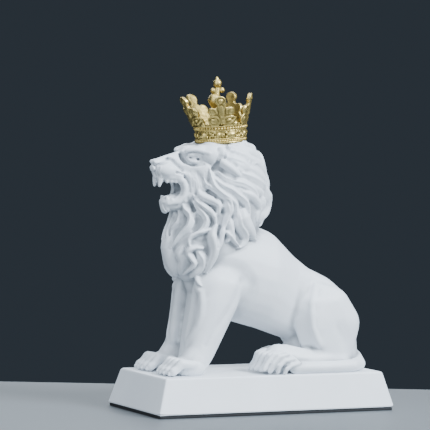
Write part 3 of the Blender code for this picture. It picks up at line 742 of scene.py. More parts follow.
def jaws(bm):
    """Lips, teeth and tongue round the open mouth."""
    for side in SIDES:
        lip = [
            ((-82.5, 6.0, 180.0), 1.2),
            ((-76.5, 8.6, 180.2), 1.7),
            ((-70.5, 9.8, 180.0), 2.1),
            ((-66.4, 10.4, 176.8), 2.2),
            ((-64.8, 10.6, 171.0), 2.2),
            ((-66.0, 10.2, 165.4), 2.1),
            ((-70.4, 8.8, 161.2), 2.0),
            ((-76.8, 5.4, 159.8), 1.7),
        ]
        chain(bm, [((x, y * side, z), (size, size, size)) for (x, y, z), size in lip])
        inner = [(-76 + (x + 76) * 0.86, y - 2.2, 170.4 + (z - 170.4) * 0.76) for (x, y, z), _ in lip]
        balls_along(bm, inner[2:7], 1.4, side)
        for root, tip, wide, narrow in (
            ((-83.4, 4.5, 179.0), (-84.3, 4.2, 173.4), 2.5, 1.3),
            ((-77.0, 4.6, 161.5), (-78.0, 4.6, 165.4), 2.0, 1.1),
        ):
            ends = zip((root, tip), (wide, narrow))
            hull(bm, *(((x, y * side, z), (size, size, size)) for (x, y, z), size in ends))
        for number in range(4):
            back = number * 3.2
            lump(bm, (-79.0 + back, (6.8 + 1.0 * number) * side, 177.4), (1.6, 1.5, 2.4))
            lump(bm, (-74.5 + back, (6.8 + 0.9 * number) * side, 162.6), (1.6, 1.5, 2.0))
    hull(bm, ((-56, 0, 166), (6, 7, 4)), ((-75, 0, 163.6), (4.5, 5.0, 2.2)))
    hull(bm, ((-79.0, 0, 160.5), (2.4, 5.0, 3.6)), ((-77.0, 0, 155.4), (3.4, 4.6, 3.6)))


def eyes(bm):
    """Each eyeball with its lids."""
    for side in SIDES:
        lump(bm, (-58.6, 9.4 * side, 194.9), (3.6, 3.6, 3.3))
        upper = [
            (-63.6, 9.4, 194.8),
            (-61.8, 11.7, 197.3),
            (-58.6, 13.2, 197.8),
            (-55.0, 13.9, 195.8),
            (-52.4, 14.4, 193.4),
        ]
        lower = [(-63.4, 9.3, 194.0), (-61.0, 11.6, 192.2), (-57.4, 12.9, 191.7), (-53.0, 14.0, 192.8)]
        for lid, size in ((upper, 1.35), (lower, 1.05)):
            balls_along(bm, lid, size, side)


def strokes(mesh, drawn_paths):
    """The same strokes on both flanks, each given as (path, radius, height)."""
    for side in SIDES:
        for path, radius, height in drawn_paths:
            stroke(mesh, mirrored(path, side), radius, height)


SOCKET = [(-65.5, 7.5, 196.5), (-63.5, 9.5, 194), (-60, 12, 193.5), (-56.5, 13.5, 194)]
FACE_STROKES = (
    ([(-67, 5.5, 198.5), (-66.2, 6.4, 195), (-64.4, 8.4, 192)], 2.8, -2.4),
    ([(-65, 8.5, 199.8), (-61.5, 11.5, 201.2), (-56, 14, 200.8), (-50, 16.5, 199)], 3.0, 1.1),
    ([(-63.5, 10.8, 198.8), (-59, 13.4, 199.2), (-54, 14.8, 197.6)], 1.5, -0.9),
    ([(-64.4, 8.4, 192), (-61.5, 10.8, 189.8), (-57, 12.9, 189.2), (-53, 14.2, 190.2)], 2.2, -1.3),
    ([(-62.2, 11.2, 195.3), (-61.6, 11.6, 195.1)], 1.3, -0.9),
    ([(-52, 14.6, 192.4), (-48, 17.0, 190.4)], 2.0, -0.7),
    ([(-90, 3.2, 190.0), (-88, 4.8, 188.8)], 1.9, -1.7),
    ([(-87, 5.6, 189.4), (-83, 6.6, 190.4), (-80, 6.6, 192.2), (-77.5, 6.2, 194.0)], 1.6, -1.3),
    ([(-78.5, 5.0, 194.4), (-74.8, 6.6, 193.2), (-71.5, 9.0, 189.6), (-68, 11.4, 185.5)], 2.6, -1.4),
    ([(-87.4, 4.0, 187.4), (-87.6, 2.6, 184), (-86.0, 1.6, 180.4)], 1.7, -1.0),
    ([(-84.6, 6.4, 188.0), (-85.4, 5.6, 184), (-84.0, 6.2, 180.6)], 1.3, 0.6),
    ([(-73, 11.4, 183.8), (-67.0, 13.2, 182.0), (-63.0, 14.4, 176.5), (-62.0, 14.4, 169)], 2.0, -1.2),
    ([(-66, 13.0, 186.5), (-58, 15.5, 183), (-52, 17, 176)], 5.0, -0.7),
    ([(-82.5, 2.0, 159.5), (-81, 2.4, 155), (-77, 2.6, 151)], 1.3, -1.0),
    ([(-80.5, 4.4, 159.5), (-78.5, 5.0, 155), (-74, 5.0, 151.5)], 1.3, -0.9),
)


def head_clay():
    bm = bmesh.new()
    skull(bm)
    mesh = combined(fused(mesh_of(bm), HEAD_VOXEL, blur=1.9), mouth_cutter(), "DIFFERENCE")
    strokes(mesh, ((SOCKET, 4.8, -2.4),))
    bm = bmesh.new()
    add_mesh(bm, mesh)
    jaws(bm)
    eyes(bm)
    mesh = fused(mesh_of(bm), HEAD_VOXEL, blur=0.8)
    strokes(mesh, FACE_STROKES)
    return mesh


# The mane

# The carver's locks on one flank. Each is a run of (angle, height) marks: degrees round the mane
# from the front of the beard, and millimetres up. Then its half width, how far it stands out, how
# many strands it has, and where lesser locks lie at either side of it, how strong they are.
COMBED_LOCKS = (
    (((64, 206), (100, 205), (132, 202), (160, 197), (178, 195)), 5.0, 1.2, 3, 0.8),
    (((62, 200), (94, 198), (125, 194), (150, 187), (170, 183)), 5.0, 1.8, 3, 0.8),
    (((64, 198), (79, 196), (99, 193), (117, 188), (136, 181)), 5.0, 2.4, 4, 0.8),
    (((53, 195), (62, 192), (76, 188), (90, 183.5), (97, 181)), 4.3, 5.2, 1),
    (((100, 190), (124, 187), (145, 182), (162, 175), (176, 170)), 5.0, 2.4, 4, 0.9),
    (((54, 185), (69, 181), (86, 178), (104, 176), (122, 172), (134, 166), (138, 158)), 4.6, 3.6, 4, 0.5),
    (((98, 184), (118, 181), (139, 176), (157, 170), (163, 161), (156, 152)), 4.8, 3.8, 3, 0.6),
    (((158, 186), (168, 176), (174, 166), (168, 157), (172, 148), (166, 142)), 5.0, 3.8, 3, 0.7),
    (((178, 200), (182, 188), (177, 176), (183, 164), (178, 153), (180, 143)), 4.6, 3.6, 3, 0.6),
    (((150, 176), (160, 166), (159, 158), (151, 151), (154, 144)), 4.6, 3.8, 3, 0.6),
    (((148, 173), (155, 166), (160, 159), (157, 153), (152, 148)), 5.4, 6.4, 2, 0.5),
    (((172, 171), (178, 164), (182, 157), (178, 150), (172, 146)), 5.4, 5.6, 2, 0.5),
)
# Those that hang in waves have no lesser locks
WAVED_LOCKS = (
    (((46, 182), (66, 175), (85, 171), (101, 166), (114, 161), (121, 153), (124, 146)), 4.0, 4.6, 3),
    (
        (
            ((40, 188), (48, 180), (56, 173), (70, 168), (84, 164))
            + ((94, 160), (97, 154), (102, 147), (111, 140))
        ),
        3.8,
        5.2,
        3,
    ),
    (((33, 183), (38, 176), (51, 172), (66, 168), (77, 163)), 3.2, 4.4, 2),
    (((28, 172), (33, 167), (44, 164), (57, 162), (66, 159), (67, 154), (62, 151)), 3.8, 5.8, 1),
    (((71, 165), (82, 163), (87, 156), (82, 149), (79, 141)), 3.4, 5.2, 3),
    (((104, 170), (124, 166), (137, 161), (145, 154)), 4.2, 3.8, 2),
    (((107, 157), (112, 150), (121, 144), (134, 138), (144, 131)), 6.8, 6.4, 1),
    (((22, 167), (31, 162), (42, 158), (55, 154), (63, 149), (66, 143)), 2.8, 6.4, 1),
    (((20, 163), (33, 157), (45, 152), (51, 147), (48, 142), (39, 138)), 3.4, 4.6, 3),
    (
        ((67, 145), (63, 139), (65, 133), (69, 128), (70, 122), (66, 116), (62, 111), (56, 106)),
        4.5,
        6.8,
        1,
    ),
    (((61, 142), (49, 139), (39, 137), (33, 134), (33, 130), (37, 126)), 2.2, 4.6, 1),
    (((53, 127), (40, 127), (33, 124), (38, 119), (42, 115), (34, 110), (21, 106)), 2.9, 5.4, 1),
    (((44, 125), (53, 119), (54, 112), (42, 107), (30, 104)), 4.2, 4.0, 3),
    (((58, 110), (51, 105.5), (52, 101.5), (60, 97.5)), 2.8, 3.0, 1),
    (((4, 168), (8, 161), (16, 155), (27, 150), (28, 143), (21, 137), (11, 126)), 4.0, 6.2, 3),
    (((-8, 158), (8, 152), (11, 145), (6, 139), (8, 133)), 2.6, 4.6, 2),
    (((-2, 156), (1, 149), (-2, 142), (2, 135), (0, 127)), 3.6, 5.0, 3),
    (((6, 134), (1, 125), (3, 117), (6, 110), (4, 104)), 6.6, 4.8, 1),
    (((26, 128), (20, 122), (24, 116), (20, 110), (14, 105)), 4.4, 3.4, 2),
    (((76, 164), (82, 158), (85, 152), (81, 145), (78, 138)), 3.2, 4.6, 3),
    (((98, 158), (102, 151), (107, 145), (117, 140), (125, 134), (121, 129), (113, 127)), 4.4, 5.4, 3),
    (((84, 140), (101, 133), (115, 128)), 1.8, 4.4, 1),
    (((80, 144), (78, 137), (78, 130), (75, 124)), 2.8, 4.8, 1),
    (((88, 150), (92, 143), (96, 137), (90, 131)), 3.6, 3.6, 2),
    (((88, 141), (97, 136), (106, 131)), 3.8, 3.0, 1),
)
# The hollows between locks, each as (angle, height) marks with a radius and a depth
HOLLOWS = (
    (((50, 189), (63, 185), (73, 182), (85, 180)), 2.8, 1.5),
    (((62, 196), (75, 193), (86, 190)), 2.2, 0.9),
    (((44, 170), (57, 166), (69, 161), (73, 154)), 2.6, 1.4),
    (((30, 165), (43, 161), (53, 157), (60, 153)), 2.4, 1.3),
    (((24, 158), (33, 151), (37, 145), (35, 140)), 3.2, 1.4),
    (((2, 150), (4, 143), (6, 136)), 2.4, 1.0),
    (((39, 133), (46, 132), (53, 133)), 2.2, 0.7),
    (((52, 202), (55, 197), (52, 191), (46, 187)), 3.0, 1.8),
    (((73, 143), (72, 135), (75, 128)), 2.6, 1.2),
)


class Mane:
    """Lays locks on the core of the mane and the shoulders below it."""

    def __init__(self, core):
        self.tree = tree_of(core)

    def laid(self, angle, height):
        """The point of the skin at an angle round the mane and a height, and its normal."""
        angle = math.radians(angle)
        middle_x = MANE_AXIS_X - (MANE_AXIS_LEVEL - height) * MANE_AXIS_LEAN
        middle = Vector((middle_x, 0, min(height, MANE_DOME_LEVEL)))
        rise = math.atan2(max(height - MANE_DOME_LEVEL, 0), MANE_DOME_RADIUS)
        flat = math.cos(rise)
        out = Vector((-math.cos(angle) * flat, -math.sin(angle) * flat, math.sin(rise)))
        place, normal, _, _ = self.tree.ray_cast(middle + out * OUTSIDE, -out)
        if place is None:
            place, normal, _, _ = self.tree.find_nearest(middle + out * MANE_REACH)
        return place, normal

    def route(self, marks, side, count):
        """So many points along a smooth curve through marks, on the flank asked for."""
        marks = [(angle * -side, height, 0) for angle, height in marks]
        return [self.laid(p.x, p.y) for p in smooth_path(marks, count)]


def beside(path, offset):
    """A path moved sideways over the skin."""
    moved = []
    last = len(path) - 1
    for step, (place, normal) in enumerate(path):
        ahead = path[min(step + 1, last)][0] - path[max(step - 1, 0)][0]
        across = ahead.cross(normal).normalized()
        moved.append((place + across * offset, normal))
    return moved


def lock(bm, path, width, height, strands):
    """A lock of hair: a low ridged section swept along the skin, tapering to its tip."""
    rings = []
    last = len(path) - 1
    for step, (place, normal) in enumerate(path):
        t = step / last
        ahead = path[min(step + 1, last)][0] - path[max(step - 1, 0)][0]
        across = ahead.cross(normal).normalized()
        full = min(1.0, 0.35 + 3.0 * t) * max(0.06, (1 - t**4)) ** 0.8
        ring = []
        for corner in range(LOCK_SIDES):
            turn = 2 * math.pi * corner / LOCK_SIDES
            reach = math.cos(turn)
            if math.sin(turn) >= 0:
                crest = (1 - abs(reach) ** 2.2) ** 0.75
                crest *= 1 + 0.15 * math.cos(2 * math.pi * (strands - 1) * reach / 2 + 0.4)
                rise = height * crest * (0.35 + 0.65 * full)
            else:
                rise = 2.0 * math.sin(turn)
            ring.append(bm.verts.new(place + across * (reach * width * full) + normal * rise))
        rings.append(ring)
    skin(bm, rings)


def locks(bm, core):
    """Every lock, with its lesser locks, on both flanks."""
    mane = Mane(core)
    chance = random.Random(7)
    for side in SIDES:
        for marks, width, height, strands, *lesser in COMBED_LOCKS + WAVED_LOCKS:
            length = sum(math.dist(a, b) for a, b in zip(marks, marks[1:]))
            path = mane.route(marks, side, 12 + int(length / 4))
            if lesser:
                for offset in (-1.25, 1.25):
                    start = chance.randint(0, 3)
                    stop = len(path) - chance.randint(1, 5)
                    strand = beside(path[start:stop], offset * width * chance.uniform(0.9, 1.1))
                    lock(bm, strand, width * 0.75, height * lesser[0], 2)
            lock(bm, path, width, height, strands)


def hollows(mesh):
    """Presses in the hollows between the locks, on both flanks."""
    mane = Mane(mesh)
    for side in SIDES:
        for marks, radius, depth in HOLLOWS:
            path = [tuple(place) for place, _ in mane.route(marks, side, 10)]
            stroke(mesh, path, radius, -depth)


def joined(*meshes):
    """Meshes put together in one, which leaves each of them as it was."""
    bm = bmesh.new()
    for mesh in meshes:
        bm.from_mesh(mesh)
    return mesh_of(bm)


def lion_mesh():
    """The whole casting of the lion without its plinth, as one closed skin."""
    core, body = mane_core(), body_clay()
    hair = bmesh.new()
    under = joined(core, body)
    locks(hair, under)
    bmesh.ops.recalc_face_normals(hair, faces=hair.faces[:])
    bm = bmesh.new()
    for mesh in (core, body, head_clay(), mesh_of(hair)):
        add_mesh(bm, mesh)
    bpy.data.meshes.remove(under)
    for side in SIDES:
        forepaw(bm, side)
        hind_paw(bm, side)
    tail(bm)
    mesh = fused(mesh_of(bm), SKIN_VOXEL, blur=0.4)
    hollows(mesh)
    return mesh


def round_edges(bm, radius, segments):
    bmesh.ops.bevel(
        bm,
        geom=bm.edges[:],
        offset=radius,
        segments=segments,
        profile=0.5,
        affect="EDGES",
        clamp_overlap=True,
    )


def plinth_mesh():
    """The plinth, whose four sides lean in to a flat top."""
    bm = bmesh.new()
    for z, length, width in (
        (PAD_THICKNESS + REST_GAP, PLINTH_LENGTH, PLINTH_WIDTH),
        (PLINTH_TOP, PLINTH_TOP_LENGTH, PLINTH_TOP_WIDTH),
    ):
        for x, y in ((-1, -1), (1, -1), (1, 1), (-1, 1)):
            bm.verts.new((x * length / 2, y * width / 2, z))
    bmesh.ops.convex_hull(bm, input=bm.verts[:])
    round_edges(bm, PLINTH_EDGE, 2)
    return mesh_of(bm)


def pad_mesh():
    bm = bmesh.new()
    size = (
        PLINTH_LENGTH - 2 * PAD_INSET,
        PLINTH_WIDTH - 2 * PAD_INSET,
        PAD_THICKNESS,
    )
    bmesh.ops.create_cube(bm, size=1.0, matrix=place_of((0, 0, PAD_THICKNESS / 2), size))
    return mesh_of(bm)


# The crown, built flat and then bent round: x runs along the wall, -y is outwards, z is up. Its wall
# leans forwards from LEAN_LEVEL up, and WALL_PROFILE gives its radius at each height.

FOOT_DEPTH = 1.3
SEAT_HEIGHT = 60
FLOOR_RADIUS = 17.8
FLOOR_THICKNESS = 3.2
WALL_RADIUS = 24.0
WALL_LENGTH = 2 * math.pi * WALL_RADIUS
FLEUR_PITCH = WALL_LENGTH / FLEURS
FLEUR_FRONT = -1.2
FLEUR_BACK = 1.3
WALL_BACK = 1.9
LEAN_LEVEL = 9.0
WALL_PROFILE = ((0, 18.6), (9, 18.6), (13, 19.6), (20, 21.6), (27, 24.5), (36.6, 27.5), (60, 34))


def drum(bm, radius, depth, place, sides=ROUND_SIDES):
    """A closed cylinder."""
    bmesh.ops.create_cone(
        bm, cap_ends=True, segments=sides, radius1=radius, radius2=radius, depth=depth, matrix=place
    )


def plate(bm, x, z, half_length, half_height, front, back):
    """A flat plate of the wall, between two depths."""
    middle, half = (front + back) / 2, (back - front) / 2
    place = place_of((x, middle, z), (half_length, half, half_height))
    bmesh.ops.create_cube(bm, size=2.0, matrix=place)


def disc(bm, x, z, across, up, front, back):
    """A round or oval boss of the wall, between two depths."""
    place = place_of((x, (front + back) / 2, z), (across, up, 1.0), (math.pi / 2, 0, 0))
    drum(bm, 1.0, back - front, place, 24)


def fleur(bm, x):
    """A scrolled fleuron: three lobes on a stem with a leaf on each side."""
    plate(bm, x, 24.0, 2.8, 8.0, FLEUR_FRONT, FLEUR_BACK)
    for along, z, across, up in (
        (0, 32.6, 3.9, 4.0),
        (0, 24.6, 6.4, 4.2),
        (-7.0, 24.2, 3.7, 3.7),
        (7.0, 24.2, 3.9, 3.9),
        (0, 21.5, 6.0, 5.0),
        (-7.2, 17.2, 5.4, 4.3),
        (7.6, 16.2, 6.0, 3.6),
    ):
        disc(bm, x + along, z, across, up, FLEUR_FRONT, FLEUR_BACK)
    hull(bm, ((x + 9, 0, 16.6), (2, 1.2, 1.6)), ((x + 12.6, 0, 19.3), (1.0, 1.0, 1.0)))
    for along, z, radius in ((0, 32.6, 2.0), (-7, 24.2, 1.8), (7, 24.2, 2.0)):
        lump(bm, (x + along, FLEUR_FRONT, z), (radius, 1.1, radius))
    lump(bm, (x, -1.0, 23.5), (2.4, 1.4, 6.0))
    lump(bm, (x - 7.2, -1.0, 17.0), (4.0, 1.3, 2.6))


def bent(mesh):
    """Bends the flat wall round to the crown's flaring profile."""
    points, _ = points_and_normals(mesh)
    heights, radii = np.array(WALL_PROFILE).T
    radius = np.interp(points[:, 2], heights, radii) - points[:, 1]
    angle = points[:, 0] / WALL_RADIUS + FIRST_FLEUR - math.pi / FLEURS
    lean = CROWN_LEAN * np.clip(points[:, 2] - LEAN_LEVEL, 0.0, None)
    points[:, 0] = radius * np.sin(angle) - lean
    points[:, 1] = -radius * np.cos(angle)
    mesh.vertices.foreach_set("co", points.ravel())
    mesh.update()
    return mesh


def finial(bm):
    """The floor of the crown, with a stem, an orb, two side balls and a bulb on it."""
    drum(bm, FLOOR_RADIUS, FLOOR_THICKNESS, Matrix.Translation((0, 0, FLOOR_THICKNESS / 2)))
    lump(bm, (0, 0, 3), (8, 8, 3))
    chain(
        bm,
        [
            ((0, 0, 3), (3.6, 3.6, 2)),
            ((-2.0, 0, 24), (2.2, 2.2, 3)),
            ((-3.1, 0, 32.2), (5.4, 5.4, 5.4)),
        ],
    )
    hull(bm, ((-1.8, 0, 36.0), (2.6, 2.6, 2)), ((-0.6, 0, 42.0), (2.0, 2.0, 2)))
    for side in SIDES:
        lump(bm, (-0.6 + 3.1 * side, -1.4 * side, 39.6), (2.2, 2.2, 2.2))
    lump(bm, (-0.4, 0, 45.0), (3.4, 3.4, 3.4))
    hull(bm, ((-0.4, 0, 46.4), (2.4, 2.4, 2)), ((-0.6, 0, 49.1), (1.1, 1.1, 1.1)))


def crown_place():
    """Where the crown sits on the head, tilted a little forwards."""
    return Matrix.Translation((CROWN_MIDDLE, 0, CROWN_SEAT)) @ Matrix.Rotation(CROWN_TILT, 4, "Y")


def seat_cutter():
    """What the crown's foot takes out of the head."""
    bm = bmesh.new()
    place = crown_place() @ Matrix.Translation((0, 0, SEAT_HEIGHT / 2 - REST_GAP))
    drum(bm, CROWN_BASE + FOOT_DEPTH + REST_GAP, SEAT_HEIGHT, place)
    return mesh_of(bm)


# Mending and thinning


def mended(mesh):
    """The mesh with the few edges closed up that thinning leaves open or doubled."""
    bm = bmesh.new()
    add_mesh(bm, mesh)
    for _ in range(8):
        poor = [edge for edge in bm.edges if len(edge.link_faces) != 2]
        if not poor:
            break
        bmesh.ops.collapse(bm, edges=poor)
        bmesh.ops.dissolve_degenerate(bm, dist=0.001, edges=bm.edges[:])
        drop_loose(bm)
    return mesh_of(bm)


def thinned(mesh, triangles):
    """The mesh with about so many triangles."""
    mesh = worked(mesh, ("TRIANGULATE", {}))
    share = min(1.0, triangles / len(mesh.polygons))
    settings = {"ratio": share, "use_collapse_triangulate": True}
    return mended(worked(mesh, ("DECIMATE", settings)))


# The crown's fine relief, built flat like its wall


def tube(bm, path, radii):
    """A tube along a path, with a radius for each of its points."""
    rings = []
    last = len(path) - 1
    for step, (place, radius) in enumerate(zip(path, radii)):
        ahead = (path[min(step + 1, last)] - path[max(step - 1, 0)]).normalized()
        side = ahead.cross(Vector((0, 1, 0)))
        side = side.normalized() if side.length > 0.01 else Vector((1, 0, 0))
        up = side.cross(ahead)
        ring = []
        for corner in range(TUBE_SIDES):
            turn = 2 * math.pi * corner / TUBE_SIDES
            ring.append(bm.verts.new(place + (side * math.cos(turn) + up * math.sin(turn)) * radius))
        rings.append(ring)
    skin(bm, rings)


def rim(bm, x, z, across, up, thick, front, start=0.0, sweep=360.0):
    """A raised rim along part of an oval."""
    steps = max(6, int(sweep / 12))
    path = []
    for step in range(steps + 1):
        turn = math.radians(start + sweep * step / steps)
        path.append(Vector((x + across * math.cos(turn), front, z + up * math.sin(turn))))
    tube(bm, path, [thick] * len(path))


def scroll(bm, x, z, radius, start, sweep, thick, front):
    """A volute that winds in from a radius to its eye."""
    steps = max(8, int(abs(sweep) / 14))
    path, radii = [], []
    for step in range(steps + 1):
        share = step / steps
        turn = math.radians(start + sweep * share)
        reach = radius * (1 - 0.72 * share)
        path.append(Vector((x + reach * math.cos(turn), front - 0.3 * share, z + reach * math.sin(turn))))
        radii.append(thick * (1 - 0.35 * share))
    tube(bm, path, radii)
    lump(bm, (x, front - 0.2, z), (radius * 0.34, 0.9, radius * 0.34))


def fleur_relief(bm, x):
    """What stands up on a fleuron: rims and eyes on its lobes, a ribbed stem and veined leaves."""
    front = -1.3
    rim(bm, x, 32.6, 3.2, 3.3, 0.72, front, -60, 300)
    lump(bm, (x, front, 32.4), (1.5, 1.3, 1.5))
    scroll(bm, x - 7.0, 24.2, 3.2, -20, 430, 0.75, front)
    scroll(bm, x + 7.0, 24.2, 3.3, 200, -430, 0.75, front)
    for points, radii in (
        (((-1.5, 14.0), (-1.064, 21.75), (-2.3, 29.5)), (0.6, 0.7, 0.6)),
        (((1.5, 14.0), (1.064, 21.75), (2.3, 29.5)), (0.6, 0.7, 0.6)),
        (((2.2, 19.5), (7.5, 20.4), (12.2, 19.6)), (0.6, 0.8, 0.5)),
        (((12.2, 19.6), (9.4, 16.8), (5.0, 15.2)), (0.5, 0.8, 0.5)),
    ):
        tube(bm, [Vector((x + along, front, z)) for along, z in points], radii)
    lump(bm, (x, front, 21.4), (1.7, 1.5, 1.7))
    lump(bm, (x, front, 16.4), (1.2, 1.1, 2.0))
    rim(bm, x - 7.2, 17.2, 4.6, 3.5, 0.75, front)
    lump(bm, (x - 7.4, front, 17.4), (2.7, 1.2, 1.6), (0, 0.5, 0))
    lump(bm, (x + 5.6, front, 17.8), (2.0, 1.1, 1.0))
    lump(bm, (x + 12.0, front, 14.6), (2.6, 1.1, 1.2))


def band_relief(bm, x):
    """The gems, cabochons, beads and little scrolls of one length of the band."""
    front = -0.7
    lump(bm, (x + 7.8, front, 6.5), (4.5, 1.8, 2.2))
    rim(bm, x + 7.8, 6.5, 4.9, 2.6, 0.45, front - 0.1)
    lump(bm, (x - 5.6, front, 6.5), (2.0, 1.7, 2.0))
    rim(bm, x - 5.6, 6.5, 2.6, 2.5, 0.42, front - 0.1)
    for place in (-11.0, -0.6):
        scroll(bm, x + place, 6.5, 2.3, 40, 400, 0.5, front - 0.1)
    for place in (-14.0, -8.6, 2.2, 13.4):
        for level in (4.9, 8.1):
            lump(bm, (x + place, front, level), (0.9, 1.0, 0.9))


def fine_crown_wall():
    """The crown's wall with its relief, still flat."""
    bm = bmesh.new()
    middle = WALL_LENGTH / 2
    for level, half, front in (
        (7.5, 7.3, -0.4),
        (0.5, 0.5, -1.2),
        (3.2, 0.45, -1.3),
        (9.5, 0.4, -1.2),
        (12.9, 0.45, -1.5),
    ):
        plate(bm, middle, level, middle + 0.5, half, front, WALL_BACK)
    for number in range(FLEURS):
        x = (number + 0.5) * FLEUR_PITCH
        fleur(bm, x)
        fleur_relief(bm, x)
        band_relief(bm, x)
    return fused(mesh_of(bm), CROWN_VOXEL, blur=0.12)


def fine_crown():
    bm = bmesh.new()
    add_mesh(bm, bent(fine_crown_wall()))
    finial(bm)
    mesh = fused(mesh_of(bm), CROWN_VOXEL, blur=0.15)
    mesh.transform(crown_place())
    return thinned(mesh, CROWN_TRIANGLES)


# The finish


def cheek_hair(mesh):
    """Fine combed grooves behind the corners of the mouth."""
    tree = tree_of(mesh)
    for side in SIDES:
        for number in range(CHEEK_HAIRS):
            share = number / (CHEEK_HAIRS - 1)
            top = 184.5 - 2.5 * (number % 3)
            marks = [(-62.5, -50.5, top), (-61.0, -50.0, 178), (-60.5, -48.0, 172.5)]
            path = [(front + (rear - front) * share, z) for front, rear, z in marks]
            stroke(mesh, drawn(tree, path, side, 12), 1.1, -0.32)


def face_lines(mesh):
    """Goes over the lines of the face once more, so that they stay crisp in the finished skin."""
    tree = tree_of(mesh)
    for side in SIDES:
        for path, radius, height in FACE_STROKES:
            line = drawn(tree, [(x, z) for x, _, z in path], side, 12)
            if len(line) > 1:
                stroke(mesh, line, radius * FACE_LINE_WIDTH, height * FACE_LINE_DEPTH)


def recess(mesh, name, reach, depth, ground=0.0):
    """Stores how far each point above the ground lies in a hollow, from 0 to 1, in an attribute."""
    points, normals = points_and_normals(mesh)
    edges = np.empty(len(mesh.edges) * 2, dtype=np.int64)
    mesh.edges.foreach_get("vertices", edges)
    first, second = edges.reshape(-1, 2).T
    count = np.bincount(first, minlength=len(points)) + np.bincount(second, minlength=len(points))
    count = np.maximum(count, 1)
    length = np.linalg.norm(points[first] - points[second], axis=1).mean()

    def calmed(values, passes):
        """Values after so many passes that draw each point half way to its neighbours' mean."""
        for _ in range(passes):
            total = np.bincount(first, values[second], len(points))
            total += np.bincount(second, values[first], len(points))
            values = 0.5 * values + 0.5 * total / count
        return values

    passes = max(2, round(2 * (reach / length) ** 2))
    smooth = np.column_stack([calmed(points[:, axis], passes) for axis in range(3)])
    hollow = calmed(((smooth - points) * normals).sum(axis=1) / depth, RECESS_CALM)
    hollow[points[:, 2] < ground] = -1
    layer = mesh.attributes.new(name, "FLOAT", "POINT")
    layer.data.foreach_set("value", np.clip(0.5 + 0.5 * hollow, 0, 1).astype(np.float32))


def shaded_inside(mesh, depth):
    """Paints shade on the faces that are turned in towards the crown's middle, by deepening their recess
    value.
    """
    points, normals = points_and_normals(mesh)
    out = points[:, :2] - (CROWN_MIDDLE, 0.0)
    reach = np.linalg.norm(out, axis=1)
    inward = -(normals[:, :2] * out).sum(axis=1) / np.maximum(reach, 1.0)
    inward[reach < FINIAL_REACH] = 0.0
    layer = mesh.attributes["recess"]
    value = np.empty(len(points), dtype=np.float32)
    layer.data.foreach_get("value", value)
    value = np.maximum(value, depth * np.clip(inward * 1.6, 0, 1))
    layer.data.foreach_set("value", value.astype(np.float32))


class Nodes:
    """Builds the nodes of one material."""

    def __init__(self, name):
        self.material = bpy.data.materials.new(name)
        self.material.use_nodes = True
        self.tree = self.material.node_tree
        self.shader = self.tree.nodes["Principled BSDF"]
        self.place = self.add("ShaderNodeTexCoord").outputs["Object"]

    def add(self, kind, **settings):
        node = self.tree.nodes.new(kind)
        for name, value in settings.items():
            setattr(node, name, value)
        return node

    def link(self, source, target):
        self.tree.links.new(source, target)

    def noise(self, scale, detail=4.0):
        """Noise over the object, at so many features to the metre."""
        node = self.add("ShaderNodeTexNoise")
        node.inputs["Scale"].default_value = scale
        node.inputs["Detail"].default_value = detail
        node.inputs["Roughness"].default_value = 0.55
        self.link(self.place, node.inputs["Vector"])
        return node.outputs["Fac"]

    def spread(self, value, low, high, to_low=0.0, to_high=1.0):
        """A value moved from one range to another, and held there."""
        node = self.add("ShaderNodeMapRange")
        names = ("From Min", "From Max", "To Min", "To Max")
        for name, number in zip(names, (low, high, to_low, to_high)):
            node.inputs[name].default_value = number
        self.link(value, node.inputs["Value"])
        return node.outputs["Result"]

    def attribute(self, name):
        """The value stored under a name in each point of the mesh."""
        return self.add("ShaderNodeAttribute", attribute_name=name).outputs["Fac"]

    def arithmetic(self, operation, first, second):
        """Two values worked together; each is a number or a socket."""
        node = self.add("ShaderNodeMath", operation=operation)
        for socket, value in zip(node.inputs, (first, second)):
            if isinstance(value, float):
                socket.default_value = value
            else:
                self.link(value, socket)
        return node.outputs["Value"]

    def mix(self, share, first, second):
        """Two colours mixed; each is a plain colour or a socket."""
        node = self.add("ShaderNodeMix", data_type="RGBA")
        self.link(share, node.inputs["Factor"])
        for name, value in (("A_Color", first), ("B_Color", second)):
            socket = next(s for s in node.inputs if s.identifier == name)
            if isinstance(value, bpy.types.NodeSocket):
                self.link(value, socket)
            else:
                socket.default_value = value
        return next(s for s in node.outputs if s.identifier == "Result_Color")

    def bump(self, height, distance, strength):
        """Fine texture from a height, over so many metres."""
        node = self.add("ShaderNodeBump")
        node.inputs["Distance"].default_value = distance
        node.inputs["Strength"].default_value = strength
        self.link(height, node.inputs["Height"])
        self.link(node.outputs["Normal"], self.shader.inputs["Normal"])


def scaled(colour, share):
    """A colour made darker or lighter."""
    return (*(min(1.0, part * share) for part in colour[:3]), 1.0)


def white_resin(settings):
    """Matt white casting resin, with painted shade that greys its hollows, and a faint cast texture."""
    nodes = Nodes("White resin")
    # Painted shade: fine and broad hollows are mixed towards the hollow shade colour; the little random
    # tone added on top is the resin's own
    hollow = nodes.spread(nodes.attribute("recess"), 0.50, 0.95)
    broad = nodes.spread(nodes.attribute("broad_recess"), 0.52, 0.95, 0.0, 0.75)
    patch = nodes.spread(nodes.noise(26.0), 0.35, 0.70, 0.0, 0.08)
    share = nodes.arithmetic("ADD", nodes.arithmetic("MAXIMUM", hollow, broad), patch)
    colour = nodes.mix(share, tuple(settings.colour), tuple(settings.hollow_shade_colour))
    nodes.link(colour, nodes.shader.inputs["Base Color"])
    level = settings.roughness
    gloss = nodes.spread(nodes.noise(140.0), 0.3, 0.7, level - 0.05, level + 0.07)
    nodes.link(gloss, nodes.shader.inputs["Roughness"])
    nodes.shader.inputs["Specular IOR Level"].default_value = 0.42
    nodes.bump(nodes.noise(900.0, 5.0), 0.00012, 0.5)
    return nodes.material


